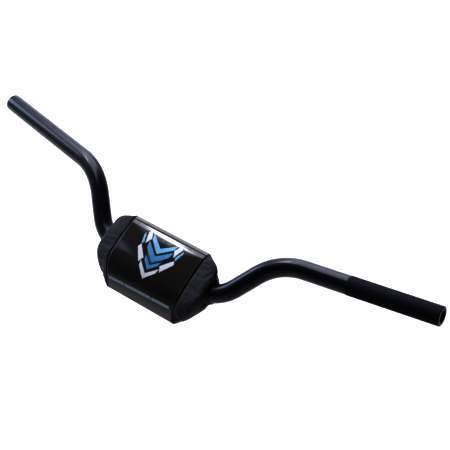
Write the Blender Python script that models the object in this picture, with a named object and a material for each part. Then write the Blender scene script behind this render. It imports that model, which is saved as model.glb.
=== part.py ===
"""Motocross handlebar: a bent, tapered aluminium tube with a sewn foam pad over its clamp.

The origin is the centre of the clamp, on the tube's axis. +X runs along the clamp to the side
with the knurled grip, +Y runs back to the rider and +Z is up, with the grips level as on the
motorcycle. The bar is symmetric about X = 0, apart from the knurled stretch.
"""

import math

import bmesh
import bpy
from mathutils import Matrix, Vector

MM = 0.001

# Course of the tube's centre line, from the middle of the clamp to one end
CLAMP_HALF_LENGTH = 66 * MM
LOWER_BEND_RADIUS = 53 * MM
RISER_ANGLE = math.radians(52)
RISER_LEAN = math.radians(38)
RISER_LENGTH = 31 * MM
UPPER_BEND_RADIUS = 77 * MM
GRIP_SWEEP = math.radians(10.5)
GRIP_RISE = math.radians(1)
GRIP_LENGTH = 166 * MM

# Tube diameters, walls and ends
CLAMP_DIAMETER = 28.6 * MM
GRIP_DIAMETER = 22.2 * MM
CLAMP_WALL = 5 * MM
GRIP_WALL = 4 * MM
FULL_CLAMP_HALF = 52 * MM
TAPER_LENGTH = 42 * MM
KNURL_LENGTH = 111 * MM
KNURL_HEIGHT = 0.3 * MM
KNURL_STEP = 0.5 * MM
OUTER_CHAMFER = 0.8 * MM
BORE_CHAMFER = 0.5 * MM
TUBE_SIDES = 28
BEND_STEPS = 9
TAPER_STEPS = 6
RING_SPACING = 1 * MM
END_STRAIGHT = 3 * MM

# Outside of the pad, over its cover: heights, depths and half lengths
PAD_TOP = 35.5 * MM
PAD_BOTTOM = -39.8 * MM
PAD_FRONT = -37.5 * MM
PAD_REAR = 27.5 * MM
TOP_EDGE_DEPTH = 17.5 * MM
TOP_BAND_WIDTH = 7.8 * MM
KNEE_DEPTH = -30 * MM
KNEE_HEIGHT = 2 * MM
SLOPE_CROWN = 2 * MM
LOW_FRONT_HEIGHT = -19 * MM
BOTTOM_FRONT_RISE = 2.3 * MM
BOTTOM_FRONT_SETBACK = 1 * MM
BOTTOM_REAR_DEPTH = 5 * MM
REAR_LOW_HEIGHT = -20 * MM
REAR_LOW_SETBACK = 2 * MM
REAR_MID_HEIGHT = 7 * MM
TOP_SEAM_HALF = 58 * MM
LOW_SEAM_HALF = 53 * MM
PAD_HALF_LENGTH = 82.2 * MM

# Corners of the pad's section, in order round it, and the fillet of each
CORNER_NAMES = ["top_rear", "top_front", "slope", "knee", "low_front", "bottom_front", "bottom_rear",
                "rear_low", "rear_mid"]
CORNER_FILLET = {
    "top_rear": 2 * MM,
    "top_front": 6 * MM,
    "slope": 14 * MM,
    "knee": 9 * MM,
    "low_front": 8 * MM,
    "bottom_front": 4 * MM,
    "bottom_rear": 8 * MM,
    "rear_low": 9 * MM,
    "rear_mid": 12 * MM,
}
FILLET_LIMIT = 0.45

# How square each corner closes in at the pad's ends: 1 is a straight cone, 2 is round
END_SQUARENESS = {
    "top_rear": 1.2,
    "top_front": 3.3,
    "slope": 3.1,
    "knee": 3.8,
    "low_front": 2.1,
    "bottom_front": 1.35,
    "bottom_rear": 1.2,
    "rear_low": 1.0,
    "rear_mid": 1.5,
}

# How far the cover stands off the tube at the cuff, below each corner
CUFF_REACH = {
    "top_rear": 3 * MM,
    "top_front": 8.6 * MM,
    "slope": 6.3 * MM,
    "knee": 9.5 * MM,
    "low_front": 2 * MM,
    "bottom_front": 4.8 * MM,
    "bottom_rear": 2 * MM,
    "rear_low": 3 * MM,
    "rear_mid": 2.4 * MM,
}

# Layers of the pad
COVER_THICKNESS = 1.2 * MM
STRIP_THICKNESS = 1 * MM
LAYER_GAP = 0.3 * MM
SEAM_GAP = 0.3 * MM
TUBE_CLEARANCE = 0.3 * MM
SLOT_HALF_HEIGHT = 9 * MM
SLOT_LIMIT = 0.95
CHANNEL_OVERRUN = 6 * MM
CHANNEL_STEPS = 24
FLAP_INSET = 3 * MM
STRIP_INSET = 8 * MM
FOAM_END = 0.86
CORNER_STEPS = 4
END_STEPS = 8
SURFACE_STEP = 0.02


def remove_everything():
    for thing in list(bpy.data.objects):
        bpy.data.objects.remove(thing, do_unlink=True)


def finish_material(name, colour, roughness, metallic=0.0):
    material = bpy.data.materials.new(name)
    material.use_nodes = True
    shader = material.node_tree.nodes["Principled BSDF"]
    shader.inputs["Base Color"].default_value = (*colour, 1)
    shader.inputs["Roughness"].default_value = roughness
    shader.inputs["Metallic"].default_value = metallic
    return material


def add_object(name, mesh_data, material, sharp_angle=35):
    """Turns a bmesh into a named, smooth-shaded object with its faces pointing out."""
    bmesh.ops.recalc_face_normals(mesh_data, faces=mesh_data.faces)
    mesh = bpy.data.meshes.new(name)
    mesh_data.to_mesh(mesh)
    mesh_data.free()
    mesh.shade_smooth()
    mesh.set_sharp_from_angle(angle=math.radians(sharp_angle))
    mesh.materials.append(material)
    item = bpy.data.objects.new(name, mesh)
    bpy.context.collection.objects.link(item)
    return item


# Course of the tube


def riser_direction():
    across = math.sin(RISER_ANGLE)
    return Vector((math.cos(RISER_ANGLE), across * math.sin(RISER_LEAN), across * math.cos(RISER_LEAN)))


def grip_direction():
    level = math.cos(GRIP_RISE)
    return Vector((level * math.cos(GRIP_SWEEP), level * math.sin(GRIP_SWEEP), math.sin(GRIP_RISE)))


def half_course():
    """One half of the centre line as legs: start, direction, length, bend axis and bend radius."""
    directions = [Vector((1, 0, 0)), riser_direction(), grip_direction()]
    straights = [CLAMP_HALF_LENGTH, RISER_LENGTH, GRIP_LENGTH]
    bends = [LOWER_BEND_RADIUS, UPPER_BEND_RADIUS]
    place = Vector((0, 0, 0))
    legs = []
    for number, direction in enumerate(directions):
        legs.append((place.copy(), direction, straights[number], None, 0))
        place += direction * straights[number]
        if number < len(bends):
            radius = bends[number]
            axis = direction.cross(directions[number + 1]).normalized()
            angle = direction.angle(directions[number + 1])
            legs.append((place.copy(), direction, radius * angle, axis, radius))
            centre = place + axis.cross(direction) * radius
            place = centre + Matrix.Rotation(angle, 3, axis) @ (place - centre)
    return legs


def half_length():
    return sum(leg[2] for leg in half_course())


def on_course(distance):
    """Place and direction on the whole centre line; a negative distance is on the -X side."""
    left = abs(distance)
    legs = half_course()
    for number, (start, direction, length, axis, radius) in enumerate(legs):
        if left <= length or number == len(legs) - 1:
            break
        left -= length
    if axis is None:
        place = start + direction * left
        heading = direction.copy()
    else:
        centre = start + axis.cross(direction) * radius
        turn = Matrix.Rotation(left / radius, 3, axis)
        place = centre + turn @ (start - centre)
        heading = turn @ direction
    if distance < 0:
        place.x = -place.x
        heading = Vector((heading.x, -heading.y, -heading.z))
    return place, heading


def ease(value):
    value = min(max(value, 0), 1)
    return value * value * (3 - 2 * value)


def plain_radius(distance):
    """Outer radius without the knurl: full over the clamp, then tapered to the grip's."""
    share = ease((abs(distance) - FULL_CLAMP_HALF) / TAPER_LENGTH)
    return (CLAMP_DIAMETER + (GRIP_DIAMETER - CLAMP_DIAMETER) * share) / 2


def bore_radius(distance):
    share = ease((abs(distance) - FULL_CLAMP_HALF) / TAPER_LENGTH)
    return plain_radius(distance) - CLAMP_WALL - (GRIP_WALL - CLAMP_WALL) * share


def shape_stations():
    """Distances on one half where the tube bends or tapers."""
    stations = {0.0}
    done = 0.0
    for start, direction, length, axis, radius in half_course():
        steps = 1 if axis is None else BEND_STEPS
        stations.update(done + length * step / steps for step in range(steps + 1))
        done += length
    stations.update(FULL_CLAMP_HALF + TAPER_LENGTH * step / TAPER_STEPS for step in range(TAPER_STEPS + 1))
    ordered = []
    for station in sorted(stations):
        if not ordered or station - ordered[-1] > RING_SPACING:
            ordered.append(station)
    return [station for station in ordered if station < half_length() - END_STRAIGHT]


def outer_stations():
    """Distance and radius of each ring of the outside, from the -X end to the +X end."""
    end = half_length()
    knurl_start = end - KNURL_LENGTH
    half = shape_stations()
    rings = [(-end, plain_radius(end) - OUTER_CHAMFER), (-end + OUTER_CHAMFER, plain_radius(end))]
    rings += [(-station, plain_radius(station)) for station in reversed(half)]
    bare = [station for station in half if 0 < station < knurl_start - RING_SPACING]
    rings += [(station, plain_radius(station)) for station in bare]
    rings += [(knurl_start, plain_radius(knurl_start))]
    knurled = plain_radius(end) + KNURL_HEIGHT
    rings += [(knurl_start + KNURL_STEP, knurled), (end - OUTER_CHAMFER, knurled)]
    rings += [(end, knurled - OUTER_CHAMFER)]
    return rings


def bore_stations():
    """Distance and radius of each ring of the bore, from the +X end back to the -X end."""
    end = half_length()
    half = shape_stations()
    mouth = bore_radius(end) + BORE_CHAMFER
    rings = [(end, mouth), (end - BORE_CHAMFER, bore_radius(end))]
    rings += [(station, bore_radius(station)) for station in reversed(half)]
    rings += [(-station, bore_radius(station)) for station in half if station > 0]
    rings += [(-end + BORE_CHAMFER, bore_radius(end)), (-end, mouth)]
    return rings


def ring_points(distance, radius):
    """Points round the tube at a distance along it, the first one uppermost."""
    place, heading = on_course(distance)
    up = Vector((0, 0, 1))
    across = (up - heading * up.dot(heading)).normalized()
    side = heading.cross(across)
    angles = [2 * math.pi * number / TUBE_SIDES for number in range(TUBE_SIDES)]
    return [place + (across * math.cos(angle) + side * math.sin(angle)) * radius for angle in angles]


def bridge(mesh_data, first, second, closed=True):
    """Quads between two rows of points of the same length."""
    count = len(first)
    for number in range(count if closed else count - 1):
        after = (number + 1) % count
        mesh_data.faces.new((first[number], first[after], second[after], second[number]))


def make_tube(material):
    mesh_data = bmesh.new()
    rows = []
    for distance, radius in outer_stations() + bore_stations():
        rows.append([mesh_data.verts.new(point) for point in ring_points(distance, radius)])
    for number, row in enumerate(rows):
        bridge(mesh_data, row, rows[(number + 1) % len(rows)])
    return add_object("handlebar_tube", mesh_data, material)


# Outside of the pad


def slope_middle():
    """Middle of the front slope, lifted square to it by the crown."""
    depth = (TOP_EDGE_DEPTH + KNEE_DEPTH) / 2
    height = (PAD_TOP + KNEE_HEIGHT) / 2
    run = TOP_EDGE_DEPTH - KNEE_DEPTH
    rise = PAD_TOP - KNEE_HEIGHT
    length = math.hypot(run, rise)
    return depth - SLOPE_CROWN * rise / length, height + SLOPE_CROWN * run / length


def corner_places():
    """Depth and height of each corner, and the half length where its end begins to close in."""
    slope_depth, slope_height = slope_middle()
    bottom_front_height = PAD_BOTTOM + BOTTOM_FRONT_RISE
    return {
        "top_rear": (TOP_EDGE_DEPTH + TOP_BAND_WIDTH, PAD_TOP, TOP_SEAM_HALF),
        "top_front": (TOP_EDGE_DEPTH, PAD_TOP, TOP_SEAM_HALF),
        "slope": (slope_depth, slope_height, TOP_SEAM_HALF),
        "knee": (KNEE_DEPTH, KNEE_HEIGHT, TOP_SEAM_HALF),
        "low_front": (PAD_FRONT, LOW_FRONT_HEIGHT, LOW_SEAM_HALF),
        "bottom_front": (PAD_FRONT + BOTTOM_FRONT_SETBACK, bottom_front_height, LOW_SEAM_HALF),
        "bottom_rear": (BOTTOM_REAR_DEPTH, PAD_BOTTOM, LOW_SEAM_HALF),
        "rear_low": (PAD_REAR - REAR_LOW_SETBACK, REAR_LOW_HEIGHT, LOW_SEAM_HALF),
        "rear_mid": (PAD_REAR, REAR_MID_HEIGHT, TOP_SEAM_HALF),
    }


def course_at_x(x):
    """Distance, place and radius of the tube where its centre line passes a given X."""
    low, high = 0.0, half_length()
    for _ in range(40):
        middle = (low + high) / 2
        if on_course(middle)[0].x < x:
            low = middle
        else:
            high = middle
    return low, on_course(low)[0], plain_radius(low)


PAD_EXIT = course_at_x(PAD_HALF_LENGTH)


def corner_at(name, along):
    """A corner of the pad: along runs 0 at the middle, 1 at the end seam, 2 at the cuff."""
    depth, height, seam = corner_places()[name]
    if along <= 1:
        return Vector((seam * along, depth, height))
    _, exit_place, exit_radius = PAD_EXIT
    angle = (along - 1) * math.pi / 2
    power = 2 / END_SQUARENESS[name]
    forward = max(math.sin(angle), 0) ** power
    inward = 1 - max(math.cos(angle), 0) ** power
    away = Vector((0, depth - exit_place.y, height - exit_place.z)).normalized()
    cuff = exit_place + away * (exit_radius + TUBE_CLEARANCE + CUFF_REACH[name])
    y = depth + (cuff.y - depth) * inward
    z = height + (cuff.z - height) * inward
    return Vector((seam + (PAD_HALF_LENGTH - seam) * forward, y, z))


def fillet_reach(name, edge):
    """How far a corner's fillet takes up an edge, where the edge is short too."""
    return min(CORNER_FILLET[name], edge.length * FILLET_LIMIT)


def pad_section(along):
    """Closed row of points round the pad, each corner rounded by its fillet."""
    row = []
    places = [corner_at(name, along) for name in CORNER_NAMES]
    for number, name in enumerate(CORNER_NAMES):
        before = places[number - 1]
        place = places[number]
        after = places[(number + 1) % len(places)]
        start = place + (before - place).normalized() * fillet_reach(name, before - place)
        end = place + (after - place).normalized() * fillet_reach(name, after - place)
        for step in range(CORNER_STEPS + 1):
            share = step / CORNER_STEPS
            row.append(start * (1 - share) ** 2 + place * (2 * share * (1 - share)) + end * share ** 2)
    return row


def spot(corner, step=CORNER_STEPS / 2):
    """Number of a point of the section: a corner's name and the step round its fillet."""
    return CORNER_NAMES.index(corner) * (CORNER_STEPS + 1) + step


SECTION_COUNT = len(CORNER_NAMES) * (CORNER_STEPS + 1)
SECTIONS = {}


def pad_point(along, turn):
    """A point of the pad's outside. A negative along is on the -X side."""
    key = round(abs(along), 6)
    if key not in SECTIONS:
        SECTIONS[key] = pad_section(key)
    row = SECTIONS[key]
    whole = math.floor(turn)
    share = turn - whole
    point = row[whole % len(row)].lerp(row[(whole + 1) % len(row)], share)
    return Vector((-point.x, point.y, point.z)) if along < 0 else point


def pad_surface(along, turn, depth):
    """A point of the outside moved in by depth, square to the surface."""
    further = min(along + SURFACE_STEP, 2)
    nearer = max(along - SURFACE_STEP, -2)
    lengthwise = pad_point(further, turn) - pad_point(nearer, turn)
    around = pad_point(along, turn + 0.5) - pad_point(along, turn - 0.5)
    outward = around.cross(lengthwise).normalized()
    return pad_point(along, turn) - outward * depth


def turns_between(first, last):
    """Every section point from first to last, both kept even where they lie between points."""
    inside = [float(number) for number in range(math.ceil(first + 1e-6), math.floor(last - 1e-6) + 1)]
    return [first] + inside + [last]


def sheet_patch(name, material, alongs, turns, outer, inner):
    """A closed sheet over part of the pad. outer and inner give its two depths at each turn."""
    mesh_data = bmesh.new()
    grids = []
    for depth in (outer, inner):
        grid = []
        for along in alongs:
            grid.append([mesh_data.verts.new(pad_surface(along, turn, depth(turn))) for turn in turns])
        grids.append(grid)
        for number in range(len(alongs) - 1):
            bridge(mesh_data, grid[number], grid[number + 1], closed=False)
    outside, inside = grids
    bridge(mesh_data, outside[0], inside[0], closed=False)
    bridge(mesh_data, outside[-1], inside[-1], closed=False)
    bridge(mesh_data, [row[0] for row in outside], [row[0] for row in inside], closed=False)
    bridge(mesh_data, [row[-1] for row in outside], [row[-1] for row in inside], closed=False)
    return add_object(name, mesh_data, material)


def plain_outer(turn):
    return 0.0


def plain_inner(turn):
    return COVER_THICKNESS


def middle_alongs():
    """Rows across the panels between the two end seams, a seam's gap short of each."""
    edge = 1 - SEAM_GAP / 2 / LOW_SEAM_HALF
    return [-edge, -0.5, 0.0, 0.5, edge]


def seam_turn(turn, side):
    """A section number moved off a seam by half its gap, along the section."""
    length = (pad_point(0, turn + 0.5) - pad_point(0, turn - 0.5)).length
    return turn + side * SEAM_GAP / 2 / length


# Seams round the section
TOP_REAR_SEAM = spot("top_rear")
TOP_FRONT_SEAM = spot("top_front", 1.5)
BOTTOM_FRONT_SEAM = spot("bottom_front")
BOTTOM_REAR_SEAM = spot("bottom_rear")
END_SLIT = spot("rear_low", CORNER_STEPS + 0.5)


def make_front_panel(material):
    turns = turns_between(seam_turn(TOP_FRONT_SEAM, 1), seam_turn(BOTTOM_FRONT_SEAM, -1))
    return sheet_patch("pad_front_panel", material, middle_alongs(), turns, plain_outer, plain_inner)


def make_top_band(material):
    turns = turns_between(seam_turn(TOP_REAR_SEAM, 1), seam_turn(TOP_FRONT_SEAM, -1))
    return sheet_patch("pad_top_band", material, middle_alongs(), turns, plain_outer, plain_inner)


def make_bottom_panel(material):
    turns = turns_between(seam_turn(BOTTOM_FRONT_SEAM, 1), seam_turn(BOTTOM_REAR_SEAM, -1))
    return sheet_patch("pad_bottom_panel", material, middle_alongs(), turns, plain_outer, plain_inner)


def make_end_panel(name, material, side):
    """Fabric end, one piece round the pad, slit behind the tube so that it can go over it."""
    start = 1 + SEAM_GAP / 2 / (PAD_HALF_LENGTH - TOP_SEAM_HALF)
    alongs = [side * (start + (2 - start) * step / END_STEPS) for step in range(END_STEPS + 1)]
    turns = turns_between(seam_turn(END_SLIT, 1), seam_turn(END_SLIT, -1) + SECTION_COUNT)
    return sheet_patch(name, material, alongs, turns, plain_outer, plain_inner)


# Closure behind the tube: the upper flap lies on the foam, the lower flap laps over it, and
# the loop and hook strips are between them.
UPPER_FLAP_EDGE = spot("rear_low", CORNER_STEPS - 1)
LAP_START = spot("rear_low", CORNER_STEPS + 0.1)
LAP_END = spot("rear_mid", CORNER_STEPS - 1)
LOWER_FLAP_END = spot("rear_mid", CORNER_STEPS - 0.5)
LIFT_START = spot("rear_low", -0.4)
LIFT_END = spot("rear_low", CORNER_STEPS - 1.6)
LAP_HEIGHT = 2 * STRIP_THICKNESS + 3 * LAYER_GAP + COVER_THICKNESS


def flap_alongs():
    edge = 1 - FLAP_INSET / LOW_SEAM_HALF
    return [-edge, -0.5, 0.0, 0.5, edge]


def strip_alongs():
    edge = 1 - STRIP_INSET / LOW_SEAM_HALF
    return [-edge, 0.0, edge]


def make_upper_flap(material):
    turns = turns_between(UPPER_FLAP_EDGE, seam_turn(TOP_REAR_SEAM, -1) + SECTION_COUNT)
    return sheet_patch("pad_upper_flap", material, middle_alongs(), turns, plain_outer, plain_inner)


def make_loop_strip(material):
    inner = -LAYER_GAP
    turns = turns_between(LAP_START, LAP_END)
    return sheet_patch("pad_loop_strip", material, strip_alongs(), turns,
                       lambda turn: inner - STRIP_THICKNESS, lambda turn: inner)


def make_hook_strip(material):
    inner = -2 * LAYER_GAP - STRIP_THICKNESS
    turns = turns_between(LAP_START, LAP_END)
    return sheet_patch("pad_hook_strip", material, strip_alongs(), turns,
                       lambda turn: inner - STRIP_THICKNESS, lambda turn: inner)


def make_lower_flap(material):
    """Lies on the foam at the bottom, then steps out over the upper flap and the two strips."""

    def lift(turn):
        return LAP_HEIGHT * ease((turn - LIFT_START) / (LIFT_END - LIFT_START))

    turns = turns_between(seam_turn(BOTTOM_REAR_SEAM, 1), LOWER_FLAP_END)
    return sheet_patch("pad_lower_flap", material, flap_alongs(), turns,
                       lambda turn: -lift(turn), lambda turn: COVER_THICKNESS - lift(turn))


def channel_cutter():
    """Keyhole along the tube: round its outside, with a slot open to the rear."""
    mesh_data = bmesh.new()
    rows = []
    last, _, _ = course_at_x(PAD_HALF_LENGTH + CHANNEL_OVERRUN)
    for number in range(CHANNEL_STEPS + 1):
        distance = last * (2 * number / CHANNEL_STEPS - 1)
        place, heading = on_course(distance)
        radius = plain_radius(distance) + TUBE_CLEARANCE
        back = Vector((0, 1, 0))
        back = (back - heading * back.dot(heading)).normalized()
        up = heading.cross(back)
        if up.z < 0:
            up = -up
        half = min(SLOT_HALF_HEIGHT, radius * SLOT_LIMIT)
        reach = (PAD_REAR + CHANNEL_OVERRUN - place.y) / back.y
        first = math.asin(half / radius)
        row = [place + back * reach + up * half]
        for step in range(TUBE_SIDES + 1):
            angle = first + (2 * math.pi - 2 * first) * step / TUBE_SIDES
            row.append(place + (back * math.cos(angle) + up * math.sin(angle)) * radius)
        row.append(place + back * reach - up * half)
        rows.append([mesh_data.verts.new(point) for point in row])
    for number in range(CHANNEL_STEPS):
        bridge(mesh_data, rows[number], rows[number + 1])
    mesh_data.faces.new(rows[0])
    mesh_data.faces.new(rows[-1])
    cutter = add_object("channel_cutter", mesh_data, bpy.data.materials.new("cutter"))
    cutter.hide_render = True
    cutter.display_type = "WIRE"
    return cutter


def make_foam(material):
    """Block under the cover, closed at each end inside the cuff, with the tube's channel cut."""
    mesh_data = bmesh.new()
    depth = COVER_THICKNESS + LAYER_GAP
    half = [0.5, 1.0] + [1 + FOAM_END * step / END_STEPS for step in range(1, END_STEPS + 1)]
    alongs = [-along for along in reversed(half)] + [0.0] + half
    turns = [float(number) for number in range(SECTION_COUNT)]
    rows = []
    for along in alongs:
        rows.append([mesh_data.verts.new(pad_surface(along, turn, depth)) for turn in turns])
    for number in range(len(rows) - 1):
        bridge(mesh_data, rows[number], rows[number + 1])
    mesh_data.faces.new(rows[0])
    mesh_data.faces.new(rows[-1])
    foam = add_object("pad_foam", mesh_data, material)
    cut = foam.modifiers.new("channel", "BOOLEAN")
    cut.operation = "DIFFERENCE"
    cut.solver = "EXACT"
    cut.object = channel_cutter()
    return foam


def main():
    remove_everything()
    gloss_black = finish_material("gloss_black_tube", (0.012, 0.013, 0.017), 0.22, 0.3)
    vinyl = finish_material("gloss_vinyl", (0.012, 0.011, 0.012), 0.18)
    fabric = finish_material("slate_fabric", (0.035, 0.038, 0.045), 0.85)
    band = finish_material("grey_band", (0.16, 0.17, 0.18), 0.7)
    lining = finish_material("black_lining", (0.02, 0.02, 0.022), 0.9)
    strip = finish_material("black_strip", (0.015, 0.015, 0.016), 0.95)
    foam = finish_material("grey_foam", (0.08, 0.08, 0.085), 0.95)

    make_tube(gloss_black)
    make_foam(foam)
    make_front_panel(vinyl)
    make_top_band(band)
    make_bottom_panel(lining)
    make_end_panel("pad_end_panel_left", fabric, -1)
    make_end_panel("pad_end_panel_right", fabric, 1)
    make_upper_flap(lining)
    make_lower_flap(lining)
    make_loop_strip(strip)
    make_hook_strip(strip)


main()
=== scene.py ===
"""Looks of the motocross handlebar: gloss black tube, sewn pad over the clamp, print and studio.

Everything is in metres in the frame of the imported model: +X along the clamp to the knurled
grip, +Y back to the rider, +Z up, with the origin at the middle of the clamp.
"""

import math

import bmesh
import bpy
import numpy as np
from bpy.props import FloatProperty, FloatVectorProperty, IntProperty, PointerProperty
from mathutils import Euler, Matrix, Vector


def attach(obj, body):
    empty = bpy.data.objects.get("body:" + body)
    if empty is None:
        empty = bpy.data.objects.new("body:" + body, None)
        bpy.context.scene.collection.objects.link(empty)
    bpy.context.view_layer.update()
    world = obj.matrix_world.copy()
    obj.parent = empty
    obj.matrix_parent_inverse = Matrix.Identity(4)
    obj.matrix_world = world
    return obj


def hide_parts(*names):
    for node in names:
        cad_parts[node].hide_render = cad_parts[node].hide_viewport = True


bl_info = {
    "name": "Motocross Handlebar",
    "version": (1, 0, 0),
    "blender": (4, 5, 0),
    "location": "View3D > Sidebar > Handlebar",
    "description": "Builds a bent handlebar tube with a sewn centre pad",
    "category": "Object",
}

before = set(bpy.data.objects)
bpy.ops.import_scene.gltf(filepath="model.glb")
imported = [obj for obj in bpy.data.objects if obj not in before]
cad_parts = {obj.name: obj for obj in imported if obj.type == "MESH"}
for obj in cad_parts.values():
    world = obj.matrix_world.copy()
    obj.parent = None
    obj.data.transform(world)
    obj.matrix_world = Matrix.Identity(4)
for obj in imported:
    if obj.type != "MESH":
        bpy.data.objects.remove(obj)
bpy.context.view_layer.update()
BODY = "root"
MM = 0.001


def length(name, description, default):
    return FloatProperty(name=name, description=description, default=default, unit="LENGTH", precision=5)


def angle(name, description, degrees):
    return FloatProperty(name=name, description=description, default=math.radians(degrees),
                         subtype="ANGLE", unit="ROTATION")


def colour(name, description, default):
    return FloatVectorProperty(name=name, description=description, default=default, subtype="COLOR",
                               size=3, min=0, max=1)


class HandlebarTubeSettings(bpy.types.PropertyGroup):
    """Course, diameters and surface of the tube."""

    clamp_half: length("Clamp half length", "Straight from the middle to the lower bend", 66 * MM)
    lower_bend: length("Lower bend radius", "Radius of the centre line in the lower bends", 53 * MM)
    riser: length("Riser length", "Straight between the two bends of a side", 31 * MM)
    upper_bend: length("Upper bend radius", "Radius of the centre line in the upper bends", 77 * MM)
    grip: length("Grip length", "Straight from the upper bend to the end", 166 * MM)
    riser_angle: angle("Riser angle", "Angle of the risers above the clamp", 52)
    riser_lean: angle("Riser lean", "Lean of the risers back to the rider", 38)
    sweep: angle("Grip sweep", "Angle of the grips back to the rider", 10.5)
    rise: angle("Grip rise", "Angle of the grips above level", 1)
    clamp_diameter: length("Clamp diameter", "Outside of the tube over the clamp", 28.6 * MM)
    grip_diameter: length("Grip diameter", "Outside of the tube at the grips", 22.2 * MM)
    clamp_wall: length("Clamp wall", "Wall of the tube over the clamp", 5 * MM)
    grip_wall: length("Grip wall", "Wall of the tube at the grips", 4 * MM)
    full_half: length("Full clamp half length", "Where the taper starts", 52 * MM)
    taper: length("Taper length", "Length of the taper", 42 * MM)
    knurl: length("Knurled length", "Length of the knurled stretch at the +X end", 111 * MM)
    knurl_height: length("Knurl height", "How far the knurl stands over the plain tube", 0.3 * MM)
    knurl_depth: length("Knurl groove depth", "Depth of the grooves between the diamonds", 0.22 * MM)
    sides: IntProperty(name="Sides", description="Points round the tube", default=144)


class HandlebarPadSettings(bpy.types.PropertyGroup):
    """Outline, seams and swell of the pad."""

    top: length("Top", "Height of the top edge", 35.5 * MM)
    bottom: length("Bottom", "Height of the bottom", -39.8 * MM)
    front: length("Front", "Depth of the foremost edge", -37.5 * MM)
    rear: length("Rear", "Depth of the rear", 27.5 * MM)
    top_edge: length("Top edge depth", "Depth of the edge over the slope", 17.5 * MM)
    band: length("Top band width", "Width of the top from the edge to the rear", 7.8 * MM)
    knee_depth: length("Knee depth", "Depth of the edge under the slope", -30 * MM)
    knee_height: length("Knee height", "Height of the edge under the slope", 2 * MM)
    crown: length("Slope crown", "How far the slope bulges", 2 * MM)
    low_front: length("Low front height", "Height of the foremost edge", -19 * MM)
    bottom_rise: length("Bottom front rise", "Front bottom edge over the bottom", 2.3 * MM)
    bottom_setback: length("Bottom front setback", "Front bottom edge behind the foremost", 1 * MM)
    bottom_rear: length("Bottom rear depth", "Depth where the bottom turns up", 5 * MM)
    rear_low: length("Rear low height", "Height of the lower rear edge", -20 * MM)
    rear_setback: length("Rear low setback", "Lower rear edge before the rear", 2 * MM)
    rear_mid: length("Rear mid height", "Height of the rear's middle", 7 * MM)
    top_seam: length("Top seam half length", "End seams of the slope and the rear", 58 * MM)
    low_seam: length("Low seam half length", "End seams of the low front", 53 * MM)
    half: length("Half length", "Middle to the cuff", 82.2 * MM)
    cover: length("Cover thickness", "Thickness of vinyl and fabric", 1.2 * MM)
    strip: length("Strip thickness", "Thickness of the hook and the loop strip", 1 * MM)
    gap: length("Layer gap", "Gap between layers", 0.3 * MM)
    inset: length("Start inset", "How much smaller the cover starts before it swells", 0.8 * MM)
    swell_cap: length("Swell cap", "Most that the swell moves a point", 3 * MM)
    pressure: FloatProperty(name="Pressure", description="Pressure of the foam on the cover", default=4.0)
    excess: FloatProperty(name="Excess cloth", default=0.02,
                          description="Share by which the end fabric is too large")
    fill: FloatProperty(name="Fill", description="How full the foam makes the cover", default=0.9)


class HandlebarFinishSettings(bpy.types.PropertyGroup):
    """Colours of the pieces."""

    tube: colour("Tube", "Gloss black of the tube", (0.0023, 0.0028, 0.0050))
    bare: colour("Bore", "Dull metal inside the tube", (0.016, 0.016, 0.017))
    vinyl: colour("Vinyl", "Front panel", (0.0024, 0.0019, 0.0018))
    fabric: colour("Fabric", "End panels", (0.0038, 0.0044, 0.0054))
    fabric_light: colour("Fabric thread", "Lighter threads of the end panels", (0.0100, 0.0112, 0.0130))
    band: colour("Top band", "Ribbed tape", (0.088, 0.094, 0.080))
    band_edge: colour("Top band edge", "Dark edges of the tape", (0.008, 0.009, 0.010))
    lining: colour("Lining", "Bottom panel and flaps", (0.010, 0.010, 0.011))
    strip: colour("Strips", "Hook and loop strips", (0.008, 0.008, 0.009))
    foam: colour("Foam", "Block inside the pad", (0.05, 0.05, 0.053))
    thread: colour("Thread", "Stitching", (0.008, 0.008, 0.010))
    stripe: colour("Stripe", "Printed stripe", (0.135, 0.185, 0.21))
    print_white: colour("Print white", "Light fields of the emblem", (0.37, 0.385, 0.375))
    print_blue: colour("Print blue", "Blue fields of the emblem", (0.014, 0.125, 0.24))
    print_pale: colour("Print pale blue", "Paler blue fields of the emblem", (0.05, 0.23, 0.34))
    print_navy: colour("Print navy", "Dark fields of the emblem", (0.004, 0.010, 0.022))


class HandlebarStageSettings(bpy.types.PropertyGroup):
    """Camera, floor and lights."""

    azimuth: angle("Azimuth", "Camera's turn to the right of straight ahead", 41.91)
    elevation: angle("Elevation", "Camera's angle over level", 34.48)
    lens: FloatProperty(name="Lens", description="Focal length on a 36 mm sensor", default=116.56)
    place: FloatVectorProperty(name="Camera place", description="Camera's position", unit="LENGTH",
                               subtype="TRANSLATION", default=(0.9819, -0.9790, 1.0111))
    floor: length("Floor height", "Height of the floor", -0.45)
    world: FloatProperty(name="World light", description="Strength of the light all round", default=1.25)
    exposure: FloatProperty(name="Exposure", description="Exposure of the picture in stops", default=0.3)
    gamma: FloatProperty(name="Gamma", default=0.76,
                         description="Gamma of the picture; under 1 deepens its blacks")


# Small helpers


def smoothstep(low, high, value):
    """Eases from 0 at low to 1 at high."""
    share = np.clip((value - low) / (high - low), 0, 1)
    return share * share * (3 - 2 * share)


def unit_rows(vectors):
    return vectors / np.maximum(np.linalg.norm(vectors, axis=-1, keepdims=True), 1e-12)


def grid_faces(rows, columns, wrap_rows=False, wrap_columns=False):
    """Corner numbers of the quads of a grid of points that are numbered row by row."""
    row = np.arange(rows if wrap_rows else rows - 1)[:, None]
    column = np.arange(columns if wrap_columns else columns - 1)[None, :]
    after_row = (row + 1) % rows
    after_column = (column + 1) % columns
    corners = [row * columns + column, row * columns + after_column, after_row * columns + after_column,
               after_row * columns + column]
    return np.stack(np.broadcast_arrays(*corners), axis=-1).reshape(-1, 4)


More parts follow.
